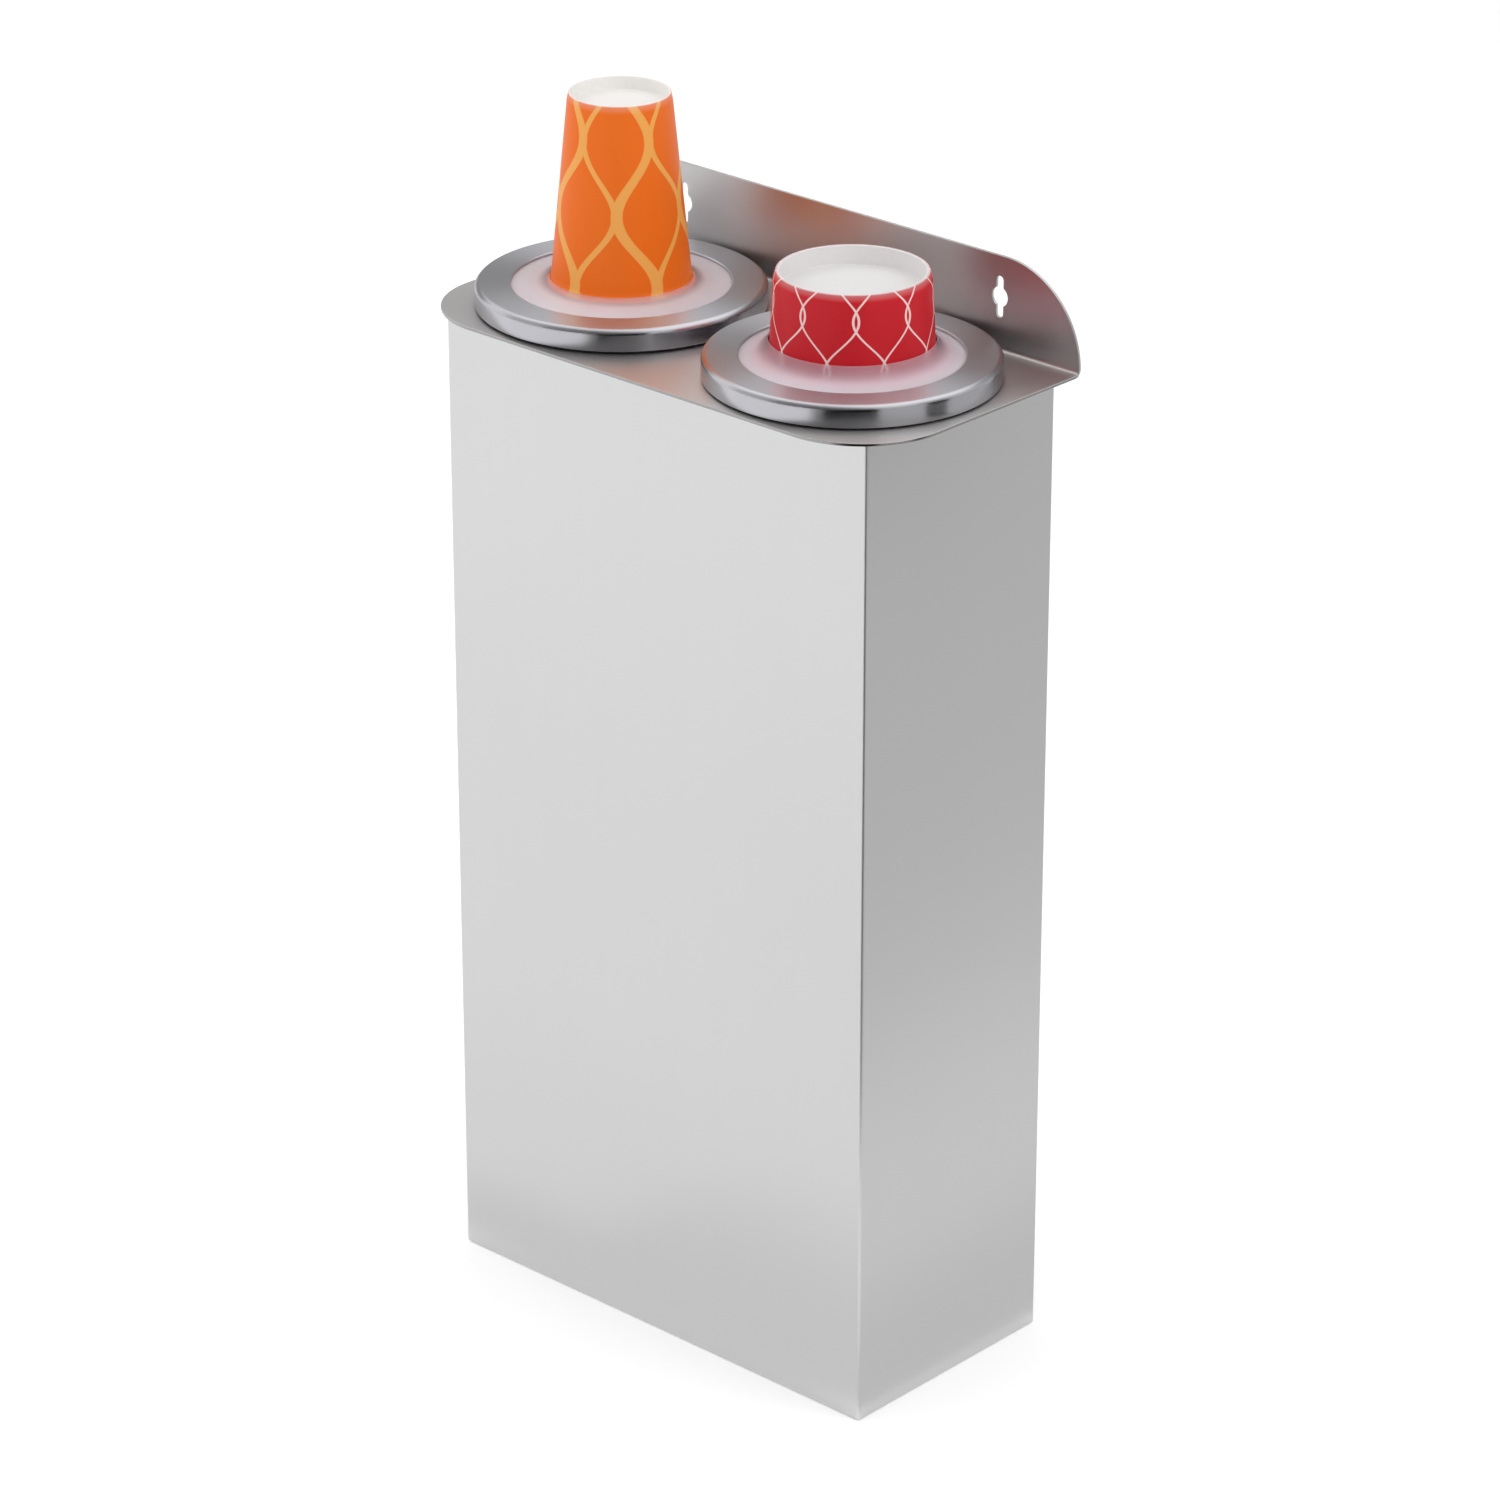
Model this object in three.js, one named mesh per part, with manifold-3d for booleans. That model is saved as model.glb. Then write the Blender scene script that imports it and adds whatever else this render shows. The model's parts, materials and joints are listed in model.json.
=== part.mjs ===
// Wall-hung cup dispenser with two sprung stacks of upside-down paper cups.
// A folded stainless housing carries a top plate whose back is bent up into a wall flange. Two collars
// clamp plate and housing together and hold the tubes. Each stack stands on a sprung lifter in its tube,
// and an elastic membrane in a lift-off lid holds its top cup.
//
// Millimetres, +Z up. The origin is on the floor face of the housing, midway between the two stacks and
// in the plane of their axes. The front is -Y, and the wall touches the back of the flange at +Y.

import * as THREE from "three";
import { mergeVertices } from "three/addons/utils/BufferGeometryUtils.js";
import Module from "manifold-3d";

const wasm = await Module();
wasm.setup();

// Clearances shared by all pieces
const seat = 0.05; // left between faces that rest on each other
const slip = 0.3; // left between pieces that slide into each other
const overrun = 2; // how far a cutter passes the face that it cuts

// Folded housing, open at the back and in the floor, where panels close it
const housing = {
  sideRoom: 3, // from a lock ring to the inside of the side wall
  frontRoom: 0.5, // from a lock ring to the inside of the front wall
  height: 498.5, // to the underside of the top plate
  sheet: 1.2,
  foldRadius: 1.6, // outside radius of the folds
  returnWidth: 16, // the narrow inward folds that take the panels
};

// Top plate and wall flange, bent from one sheet
const plate = {
  sheet: 1.5,
  endOverhang: 15, // beyond the housing, left and right
  frontOverhang: 15,
  flangeRoom: 2.5, // from a lid to the front face of the flange
  frontCornerRadius: 45,
  bendRadius: 2.5, // inside the bend
  flangeHeight: 46, // above the plate's top face
  flangeCornerRadius: 45,
};

// Keyholes in the wall flange: a round hole for the screw's head, with a slot above and below it
const keyhole = {
  endDistance: 48, // from the plate's end
  centreHeight: 26, // above the plate's top face
  headRadius: 4.7,
  slotWidth: 4.2,
  slotLength: 20,
};

// Countersunk screws, flush with the sheet
const screw = {
  headRadius: 3,
  headDepth: 1.1,
  shankRadius: 1.5,
  length: 7,
  backEndDistance: 60, // from the floor and from the plate to the back panel's screws
  floorEndDistance: 30, // from the housing's front and from the wall to the floor's screws
};

// Tubes and the collars that hang them in the plate
const tube = {
  cupRoom: 6.05, // from the widest cup's rolled rim to the bore
  wall: 2,
};
const collar = {
  neckWall: 2.7,
  neckLength: 15, // below the housing's top web
  socketDepth: 10, // how far the tube goes up into the neck
  flangeInset: 1, // from the lid's outside
  flangeThickness: 1,
  shelfWidth: 8.7, // from the plate's hole to the inside of the spigot
  spigotWall: 2,
  spigotHeight: 5.5, // above the flange
  leadIn: 1.5, // chamfer at the mouth of the bore
};
const lockRing = { wall: 4, thickness: 8 };
const tubeBase = {
  floor: 3,
  rimOverlap: 2, // beyond the tube's outside
  plugHeight: 15,
  plugWall: 2,
  ringHeight: 10, // the inner ring that centres the spring
  ringWall: 2.4,
  pegRadius: 10, // under the floor, in a hole of the bottom panel
};

// Lid: a drawn ring, the carrier pressed up into it and the membrane clamped between the two
const lid = {
  gap: 7, // between the two lids
  height: 10.5,
  sheet: 1.2,
  shoulderRadius: 2.8,
  openingRoom: 6, // from the tube's bore to the opening's edge
  openingRoundRadius: 0.6,
};
const carrier = {
  outerWall: 5.2, // round the collar's spigot
  setback: 1.5, // from the lid's opening
  thickness: 6,
};
const membrane = {
  thickness: 1.2,
  edgeRoom: 2.5, // from its outer edge to the carrier's outside
  kneeReach: 1, // how far outside the cup's rolled rim the cone bends upwards
  kneeRise: 1,
};

// Lifter and spring
const lifter = {
  runningGap: 0.6, // to the tube's bore
  skirtLength: 25,
  wall: 2,
  plateThickness: 2.5,
  bossHeight: 14,
  bossTaper: 2,
  bossGap: 1, // to the inside of the lowest cup
};
const spring = {
  boreRoom: 5.8, // from the outside of the coil to the tube's bore
  wireRadius: 1.2,
  turns: 14, // with the closed turn at each end
  closedPitchShare: 1.25, // pitch of a closed turn, as a share of the wire's thickness
};

// Cups, as they stand in the stack, upside down
const tallCup = {
  height: 93,
  mouthRadius: 33.5,
  taper: 9.2, // how much narrower the base's radius is
  wall: 0.35,
  nestGap: 0.25, // at least, between the walls of nested cups
  recess: 6, // from the base's edge in to the disc
  discThickness: 0.5,
  skirtThickness: 0.9, // the doubled wall round the recess
  curlRadius: 1, // of the rolled rim at the mouth
  rimHeight: 11, // from the top plate to the top cup's rolled rim
  gripHeight: 1.4, // from that rim to the membrane's lip
};
const shortCup = {
  ...tallCup,
  height: 43.5,
  mouthRadius: 38.3,
  taper: 2.2,
  rimHeight: 7.9,
  gripHeight: 9,
};
const cupsInStack = 3;

// Radii, worked out from the widest cup to the lid that covers it all
const rimRadius = (cup) => cup.mouthRadius - cup.wall + 2 * cup.curlRadius;
const boreRadius = Math.max(rimRadius(tallCup), rimRadius(shortCup)) + tube.cupRoom;
const tubeRadius = boreRadius + tube.wall;
const neckRadius = tubeRadius + slip + collar.neckWall;
const holeRadius = neckRadius + slip;
const lockRingRadius = holeRadius + lockRing.wall;
const coilRadius = boreRadius - spring.boreRoom - spring.wireRadius;
const spigotRadius = holeRadius + collar.shelfWidth + collar.spigotWall;
const carrierRadius = spigotRadius + slip + carrier.outerWall;
const lidInnerRadius = carrierRadius + slip;
const lidRadius = lidInnerRadius + lid.sheet;
const openingRadius = boreRadius + lid.openingRoom;

// The stacks' axes are as far apart as the two lids and the gap between them need
const spacing = 2 * lidRadius + lid.gap;
const stacks = [
  { side: "left", x: -spacing / 2, cup: tallCup, print: "orange" },
  { side: "right", x: spacing / 2, cup: shortCup, print: "red" },
];

// Faces around each turned piece, and steps along round cuts and the spring
const faces = { lid: 44, cup: 36, nested: 24, turned: 28, screw: 10, hole: 40, peg: 20, keyhole: 12 };
const arcSteps = { fold: 2, bend: 4, corner: 10, slot: 4 };
const springSteps = { perTurn: 8, section: 5 };

// Places worked out from the sizes above
const plateLow = housing.height;
const plateTop = plateLow + plate.sheet;
const webLow = housing.height - housing.sheet;
const halfWidth = spacing / 2 + lockRingRadius + housing.sideRoom + housing.sheet;
const frontY = -(lockRingRadius + housing.frontRoom + housing.sheet);
const wallY = lidRadius + plate.flangeRoom + plate.sheet;
const plateEndX = halfWidth + plate.endOverhang;
const collarTop = plateTop + collar.flangeThickness;
const tubeTop = webLow - collar.neckLength + collar.socketDepth;
const panelSheet = housing.sheet;
const floorTop = housing.sheet + seat + panelSheet;
const baseFloorTop = floorTop + seat + tubeBase.floor;
const lidLow = collarTop + seat;
const lidTop = lidLow + lid.height;
const membraneTop = lidTop - lid.sheet - seat;
const carrierTop = membraneTop - membrane.thickness - seat;

const materials = {
  steel: new THREE.MeshStandardMaterial({ color: 0xc9c8c8, roughness: 0.38, metalness: 1 }),
  lidSteel: new THREE.MeshStandardMaterial({ color: 0xbfbfc2, roughness: 0.3, metalness: 1 }),
  wire: new THREE.MeshStandardMaterial({ color: 0xa9a9ab, roughness: 0.35, metalness: 1 }),
  black: new THREE.MeshStandardMaterial({ color: 0x17171a, roughness: 0.5, metalness: 0 }),
  white: new THREE.MeshStandardMaterial({ color: 0xe6e6e2, roughness: 0.45, metalness: 0 }),
  silicone: new THREE.MeshStandardMaterial({ color: 0xe9dde4, roughness: 0.4, metalness: 0 }),
  orange: new THREE.MeshStandardMaterial({ color: 0xe4671c, roughness: 0.45, metalness: 0 }),
  red: new THREE.MeshStandardMaterial({ color: 0xc2131f, roughness: 0.45, metalness: 0 }),
};

const dispenser = new THREE.Group();

// Merges shared vertices, drops the triangles that collapse on a lathe's axis and turns every face
// outwards, so that a geometry is one closed solid.
function closed(geometry) {
  geometry.deleteAttribute("normal");
  geometry.deleteAttribute("uv");
  const merged = mergeVertices(geometry);
  const places = merged.attributes.position;
  const kept = [];
  let volume = 0;
  const [a, b, c] = [new THREE.Vector3(), new THREE.Vector3(), new THREE.Vector3()];
  for (let i = 0; i < merged.index.count; i += 3) {
    const corners = [merged.index.getX(i), merged.index.getX(i + 1), merged.index.getX(i + 2)];
    if (new Set(corners).size < 3) continue;
    a.fromBufferAttribute(places, corners[0]);
    b.fromBufferAttribute(places, corners[1]);
    c.fromBufferAttribute(places, corners[2]);
    volume += a.dot(b.cross(c));
    kept.push(corners);
  }
  merged.setIndex(kept.flatMap((corners) => (volume < 0 ? corners.toReversed() : corners)));
  return merged;
}

function toSolid(geometry) {
  const shape = closed(geometry);
  const vertProperties = new Float32Array(shape.attributes.position.array);
  return new wasm.Manifold(
    new wasm.Mesh({ numProp: 3, vertProperties, triVerts: new Uint32Array(shape.index.array) }),
  );
}

function toGeometry(solid) {
  const { vertProperties, triVerts } = solid.getMesh();
  const geometry = new THREE.BufferGeometry();
  geometry.setAttribute("position", new THREE.BufferAttribute(vertProperties, 3));
  geometry.setIndex(new THREE.BufferAttribute(triVerts, 1));
  return geometry;
}

function addMesh(name, geometry, material, parent = dispenser) {
  geometry.computeVertexNormals();
  const mesh = new THREE.Mesh(geometry, material);
  mesh.name = name;
  parent.add(mesh);
  return mesh;
}

// The two in-plane directions and the depth of a shape that is pushed along X, Y or Z. Along Y the
// depth runs towards the front.
const [alongX, alongY, alongZ] = [
  new THREE.Vector3(1, 0, 0),
  new THREE.Vector3(0, 1, 0),
  new THREE.Vector3(0, 0, 1),
];
const directions = {
  x: [alongY, alongZ, alongX],
  y: [alongX, alongZ, alongY.clone().negate()],
  z: [alongX, alongY, alongZ],
};

function turnTo(axis, geometry) {
  return geometry.applyMatrix4(new THREE.Matrix4().makeBasis(...directions[axis]));
}

// A flat outline pushed from low to high along an axis. Its coordinates are (y, z), (x, z) or (x, y).
function prism(outline, axis, low, high, curveSegments = arcSteps.corner) {
  const options = { depth: high - low, bevelEnabled: false, curveSegments };
  const geometry = turnTo(axis, new THREE.ExtrudeGeometry(outline, options));
  const start = axis === "y" ? high : low;
  geometry.translate(axis === "x" ? start : 0, axis === "y" ? start : 0, axis === "z" ? start : 0);
  return toSolid(geometry);
}

function box(low, high) {
  const size = high.map((value, i) => value - low[i]);
  const geometry = new THREE.BoxGeometry(...size);
  return toSolid(geometry.translate(...low.map((value, i) => value + size[i] / 2)));
}

function rod(x, y, radius, low, high, sides = faces.hole) {
  const geometry = new THREE.CylinderGeometry(radius, radius, high - low, sides);
  return toSolid(turnTo("y", geometry).translate(x, y, (low + high) / 2));
}

// A profile of [radius, z] pairs turned round Z. One that doesn't start on the axis closes on itself.
function turned(profile, segments) {
  const onAxis = profile[0][0] === 0;
  const points = (onAxis ? profile : [...profile, profile[0]]).map(([r, z]) => new THREE.Vector2(r, z));
  return closed(new THREE.LatheGeometry(points, segments).rotateX(Math.PI / 2));
}

// Points along an arc, for use inside a profile. Angles are in degrees.
function arcPoints(centreR, centreZ, radius, from, to, steps) {
  return Array.from({ length: steps + 1 }, (_, i) => {
    const angle = THREE.MathUtils.degToRad(from + ((to - from) * i) / steps);
    return [centreR + radius * Math.cos(angle), centreZ + radius * Math.sin(angle)];
  });
}

function roundedRectangle(lowX, lowY, highX, highY, radius) {
  const shape = new THREE.Shape();
  shape.moveTo(lowX, highY - radius);
  shape.absarc(lowX + radius, lowY + radius, radius, Math.PI, 1.5 * Math.PI, false);
  shape.absarc(highX - radius, lowY + radius, radius, 1.5 * Math.PI, 2 * Math.PI, false);
  shape.absarc(highX - radius, highY - radius, radius, 0, 0.5 * Math.PI, false);
  shape.absarc(lowX + radius, highY - radius, radius, 0.5 * Math.PI, Math.PI, false);
  return shape;
}

// A countersunk screw, its head's face at the origin and its shank along +Z. Grown by a clearance and
// by an overrun at both ends, it is also the cutter of its own hole.
function screwShape(grow = 0, past = 0) {
  const head = screw.headRadius + grow;
  const shank = screw.shankRadius + grow;
  const profile = [[0, -past]];
  if (past > 0) profile.push([head, -past]);
  profile.push([head, 0], [shank, screw.headDepth], [shank, screw.length + past], [0, screw.length + past]);
  return turned(profile, faces.screw);
}

const backScrewPlaces = [];
const floorScrewPlaces = [];
for (const sideways of [-1, 1]) {
  const x = sideways * (halfWidth - housing.returnWidth / 2);
  for (const z of [screw.backEndDistance, housing.height - screw.backEndDistance]) {
    backScrewPlaces.push([x, wallY, z]);
  }
  for (const y of [frontY + screw.floorEndDistance, wallY - screw.floorEndDistance]) {
    floorScrewPlaces.push([x, y, 0]);
  }
}

function cutScrewHoles(solid) {
  let result = solid;
  for (const place of backScrewPlaces) {
    const cutter = turnTo("y", screwShape(seat, overrun)).translate(...place);
    result = result.subtract(toSolid(cutter));
  }
  for (const place of floorScrewPlaces) {
    result = result.subtract(toSolid(screwShape(seat, overrun).translate(...place)));
  }
  return result;
}

// Housing: a shelled box with its back and floor cut away inside the returns
function buildHousing() {
  const { height, sheet, foldRadius, returnWidth } = housing;
  const [left, right] = [-halfWidth, halfWidth];
  const outline = roundedRectangle(left, frontY, right, wallY, foldRadius);
  const outside = prism(outline, "z", 0, height, arcSteps.fold);
  const hollowRadius = foldRadius - sheet;
  const hollow = roundedRectangle(left + sheet, frontY + sheet, right - sheet, wallY - sheet, hollowRadius);
  let shell = outside.subtract(prism(hollow, "z", sheet, webLow, arcSteps.fold));
  const reach = right - returnWidth;
  shell = shell.subtract(box([-reach, wallY - sheet - overrun, -overrun], [reach, wallY + overrun, webLow]));
  shell = shell.subtract(
    box([-reach, frontY + returnWidth, -overrun], [reach, wallY + overrun, sheet + overrun]),
  );
  for (const { x } of stacks) {
    shell = shell.subtract(rod(x, 0, holeRadius, webLow - overrun, plateLow + overrun));
  }
  addMesh("housing_shell", toGeometry(cutScrewHoles(shell)), materials.steel);
}

// Top plate: the L-shaped section of the bent sheet, trimmed to its outline from above and from the
// front, and pierced
function buildPlate() {
  const { sheet, bendRadius, flangeHeight } = plate;
  const frontEdge = frontY - plate.frontOverhang;
  const flangeTop = plateTop + flangeHeight;
  const bendY = wallY - sheet - bendRadius;
  const bendZ = plateTop + bendRadius;
  const section = new THREE.Shape();
  section.moveTo(frontEdge, plateTop);
  section.lineTo(frontEdge, plateLow);
  section.absarc(bendY, bendZ, bendRadius + sheet, 1.5 * Math.PI, 2 * Math.PI, false);
  section.lineTo(wallY, flangeTop);
  section.lineTo(wallY - sheet, flangeTop);
  section.absarc(bendY, bendZ, bendRadius, 2 * Math.PI, 1.5 * Math.PI, true);
  const bent = prism(section, "x", -plateEndX, plateEndX, arcSteps.bend);

  const corner = plate.frontCornerRadius;
  const fromAbove = new THREE.Shape();
  fromAbove.moveTo(plateEndX, wallY + overrun);
  fromAbove.lineTo(-plateEndX, wallY + overrun);
  fromAbove.absarc(-plateEndX + corner, frontEdge + corner, corner, Math.PI, 1.5 * Math.PI, false);
  fromAbove.absarc(plateEndX - corner, frontEdge + corner, corner, 1.5 * Math.PI, 2 * Math.PI, false);
  const trimmed = bent.intersect(prism(fromAbove, "z", plateLow - overrun, flangeTop + overrun));

  const round = Math.min(plate.flangeCornerRadius, flangeHeight);
  const fromFront = new THREE.Shape();
  fromFront.moveTo(-plateEndX, plateLow - overrun);
  fromFront.lineTo(plateEndX, plateLow - overrun);
  fromFront.absarc(plateEndX - round, flangeTop - round, round, 0, 0.5 * Math.PI, false);
  fromFront.absarc(-plateEndX + round, flangeTop - round, round, 0.5 * Math.PI, Math.PI, false);
  let pierced = trimmed.intersect(prism(fromFront, "y", frontEdge - overrun, wallY + overrun));

  for (const { x } of stacks) {
    pierced = pierced.subtract(rod(x, 0, holeRadius, plateLow - overrun, plateTop + overrun));
  }
  const holeZ = plateTop + keyhole.centreHeight;
  const half = keyhole.slotWidth / 2;
  const slotEnd = keyhole.slotLength / 2;
  for (const sideways of [-1, 1]) {
    const x = sideways * (plateEndX - keyhole.endDistance);
    const slot = roundedRectangle(x - half, holeZ - slotEnd, x + half, holeZ + slotEnd, half);
    const head = new THREE.Shape().absarc(x, holeZ, keyhole.headRadius, 0, 2 * Math.PI, false);
    for (const [outline, segments] of [[slot, arcSteps.slot], [head, faces.keyhole]]) {
      const through = prism(outline, "y", wallY - sheet - overrun, wallY + overrun, segments);
      pierced = pierced.subtract(through);
    }
  }
  addMesh("top_plate", toGeometry(pierced), materials.steel);
}

// Panels that close the back and the floor from inside, and the screws that hold them
function buildPanels() {
  const insideX = halfWidth - housing.sheet - slip;
  const insideFront = frontY + housing.sheet + slip;
  const backY = wallY - housing.sheet - seat;
  const back = box([-insideX, backY - panelSheet, floorTop + slip], [insideX, backY, webLow - slip]);
  addMesh("back_panel", toGeometry(cutScrewHoles(back)), materials.steel);

  let floor = box([-insideX, insideFront, housing.sheet + seat], [insideX, backY, floorTop]);
  for (const { x } of stacks) {
    floor = floor.subtract(rod(x, 0, tubeBase.pegRadius + slip, -overrun, floorTop + overrun, faces.peg));
  }
  addMesh("bottom_panel", toGeometry(cutScrewHoles(floor)), materials.steel);

  backScrewPlaces.forEach((place, i) => {
    addMesh(`back_screw_${i + 1}`, turnTo("y", screwShape()), materials.wire).position.set(...place);
  });
  floorScrewPlaces.forEach((place, i) => {
    addMesh(`floor_screw_${i + 1}`, screwShape(), materials.wire).position.set(...place);
  });
}

// Outside radius of a cup's wall at a distance from its base's edge
function cupRadius(cup, fromBase) {
  return cup.mouthRadius - cup.taper * (1 - fromBase / cup.height);
}

// Distance between nested cups: a cup's disc stands on the base's edge of the next one, or, where the
// walls are too steep for that, the walls come close first
function nestPitch(cup) {
  const slope = cup.taper / cup.height;
  return Math.max(cup.recess + cup.discThickness + seat, (cup.wall + cup.nestGap) / slope);
}

function topCupTop(cup) {
  return plateTop + cup.rimHeight + cup.height;
}

function cupProfile(cup, topZ) {
  const { wall, recess, discThickness, skirtThickness, curlRadius, height } = cup;
  const baseRadius = cupRadius(cup, 0);
  const mouthZ = topZ - height;
  const curlZ = mouthZ + curlRadius;
  const curlCentre = cupRadius(cup, height) - wall + curlRadius;
  const discZ = topZ - recess;
  const innerAt = (z) => cupRadius(cup, topZ - z) - wall;
  const upperCurlZ = mouthZ + 2 * curlRadius;
  return [
    [0, discZ],
    [baseRadius - skirtThickness, discZ],
    [baseRadius - skirtThickness, topZ],
    [baseRadius, topZ],
    [cupRadius(cup, topZ - upperCurlZ), upperCurlZ],
    ...arcPoints(curlCentre, curlZ, curlRadius, 60, -90, 3),
    [innerAt(curlZ), curlZ],
    [innerAt(discZ - discThickness), discZ - discThickness],
    [0, discZ - discThickness],
  ];
}

function buildCups(stack, group) {
  const pitch = nestPitch(stack.cup);
  for (let i = 0; i < cupsInStack; i += 1) {
    const topZ = topCupTop(stack.cup) - i * pitch;
    const name = i === 0 ? `${stack.side}_top_cup` : `${stack.side}_nested_cup_${i}`;
    const segments = i === 0 ? faces.cup : faces.nested;
    addMesh(name, turned(cupProfile(stack.cup, topZ), segments), materials[stack.print], group);
  }
}

// Collar: a flange on the plate, a spigot for the lid above it and a threaded neck with the tube's
// socket below it. The lock ring turns up the neck against the housing's top web.
function buildCollar(stack, group) {
  const neckLow = webLow - collar.neckLength;
  const socketRadius = tubeRadius + slip;
  const spigotTop = collarTop + collar.spigotHeight;
  const flangeRadius = lidRadius - collar.flangeInset;
  const profile = [
    [socketRadius, neckLow],
    [neckRadius, neckLow],
    [neckRadius, plateTop + seat],
    [flangeRadius, plateTop + seat],
    [flangeRadius, collarTop],
    [spigotRadius, collarTop],
    [spigotRadius, spigotTop],
    [spigotRadius - collar.spigotWall, spigotTop],
    [spigotRadius - collar.spigotWall, collarTop],
    [boreRadius + collar.leadIn, collarTop],
    [boreRadius, collarTop - collar.leadIn],
    [boreRadius, tubeTop + seat],
    [socketRadius, tubeTop + seat],
  ];
  addMesh(`${stack.side}_collar`, turned(profile, faces.turned), materials.black, group);

  const ringTop = webLow - seat;
  const ringLow = ringTop - lockRing.thickness;
  const ringProfile = [
    [holeRadius, ringLow],
    [lockRingRadius, ringLow],
    [lockRingRadius, ringTop],
    [holeRadius, ringTop],
  ];
  addMesh(`${stack.side}_lock_ring`, turned(ringProfile, faces.turned), materials.black, group);
}

function springRingRadius() {
  const flat = 1 - Math.cos(Math.PI / springSteps.perTurn);
  return coilRadius * (1 - flat) - spring.wireRadius - slip;
}

function buildTube(stack, group) {
  const tubeLow = baseFloorTop + seat;
  const tubeProfile = [
    [boreRadius, tubeLow],
    [tubeRadius, tubeLow],
    [tubeRadius, tubeTop],
    [boreRadius, tubeTop],
  ];
  addMesh(`${stack.side}_tube`, turned(tubeProfile, faces.turned), materials.white, group);

  const plugRadius = boreRadius - slip;
  const plugTop = baseFloorTop + tubeBase.plugHeight;
  const ringRadius = springRingRadius();
  const ringTop = baseFloorTop + tubeBase.ringHeight;
  const baseProfile = [
    [0, housing.sheet],
    [tubeBase.pegRadius, housing.sheet],
    [tubeBase.pegRadius, floorTop + seat],
    [tubeRadius + tubeBase.rimOverlap, floorTop + seat],
    [tubeRadius + tubeBase.rimOverlap, baseFloorTop],
    [plugRadius, baseFloorTop],
    [plugRadius, plugTop],
    [plugRadius - tubeBase.plugWall, plugTop],
    [plugRadius - tubeBase.plugWall, baseFloorTop],
    [ringRadius, baseFloorTop],
    [ringRadius, ringTop],
    [ringRadius - tubeBase.ringWall, ringTop],
    [ringRadius - tubeBase.ringWall, baseFloorTop],
    [0, baseFloorTop],
  ];
  addMesh(`${stack.side}_tube_base`, turned(baseProfile, faces.turned), materials.black, group);
}

function lifterTop(stack) {
  const { cup } = stack;
  return topCupTop(cup) - cup.height - (cupsInStack - 1) * nestPitch(cup) - seat;
}

// Lifter: a platform with a guide skirt and a hollow boss that centres the lowest cup
function buildLifter(stack, group) {
  const { wall, plateThickness, bossHeight, bossTaper } = lifter;
  const top = lifterTop(stack);
  const skirtRadius = boreRadius - lifter.runningGap;
  const skirtLow = top - lifter.skirtLength;
  const under = top - plateThickness;
  const mouthInside = cupRadius(stack.cup, stack.cup.height) - stack.cup.wall;
  const slope = stack.cup.taper / stack.cup.height;
  const bossRadius = mouthInside - lifter.bossGap;
  const bossTopRadius = bossRadius - bossHeight * slope - bossTaper;
  const profile = [
    [0, top + bossHeight],
    [bossTopRadius, top + bossHeight],
    [bossRadius - bossTaper * slope, top + bossTaper],
    [bossRadius, top],
    [skirtRadius, top],
    [skirtRadius, skirtLow],
    [skirtRadius - wall, skirtLow],
    [skirtRadius - wall, under],
    [bossRadius - wall, under],
    [bossTopRadius - wall, top + bossHeight - wall],
    [0, top + bossHeight - wall],
  ];
  addMesh(`${stack.side}_lifter`, turned(profile, faces.turned), materials.white, group);
}

// Helix of a compression spring: a closed turn at each end and even turns between them
class SpringLine extends THREE.Curve {
  constructor(low, high) {
    super();
    this.low = low;
    this.high = high;
    this.closedPitch = 2 * spring.wireRadius * spring.closedPitchShare;
  }

  height(turn) {
    const last = spring.turns - 1;
    const openPitch = (this.high - this.low - 2 * this.closedPitch) / (spring.turns - 2);
    if (turn < 1) return this.low + turn * this.closedPitch;
    if (turn > last) return this.high - (spring.turns - turn) * this.closedPitch;
    return this.low + this.closedPitch + (turn - 1) * openPitch;
  }

  getPoint(t, target = new THREE.Vector3()) {
    const turn = t * spring.turns;
    const angle = turn * 2 * Math.PI;
    const [x, y] = [Math.cos(angle), Math.sin(angle)].map((value) => value * coilRadius);
    return target.set(x, y, this.height(turn));
  }
}

// The least clear distance between points of the wire that are more than half a turn apart
function leastGap(line, steps) {
  const points = line.getPoints(steps);
  const apart = springSteps.perTurn / 2;
  let least = Infinity;
  points.forEach((point, i) => {
    for (let j = i + apart; j < points.length; j += 1) least = Math.min(least, point.distanceTo(points[j]));
  });
  return least - 2 * spring.wireRadius;
}

function buildSpring(stack, group) {
  const margin = spring.wireRadius + slip;
  const high = lifterTop(stack) - lifter.plateThickness - margin;
  const line = new SpringLine(baseFloorTop + margin, high);
  const steps = spring.turns * springSteps.perTurn;
  const corners = Array.from({ length: springSteps.section }, (_, i) => {
    const angle = (i * 2 * Math.PI) / springSteps.section;
    return new THREE.Vector2(Math.cos(angle), Math.sin(angle)).multiplyScalar(spring.wireRadius);
  });
  const options = { steps, extrudePath: line, bevelEnabled: false };
  const wire = new THREE.ExtrudeGeometry(new THREE.Shape(corners), options);
  addMesh(`${stack.side}_spring`, closed(wire), materials.wire, group);
  console.log(`${stack.side} spring: least gap to itself ${leastGap(line, steps).toFixed(2)} mm`);
}

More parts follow.
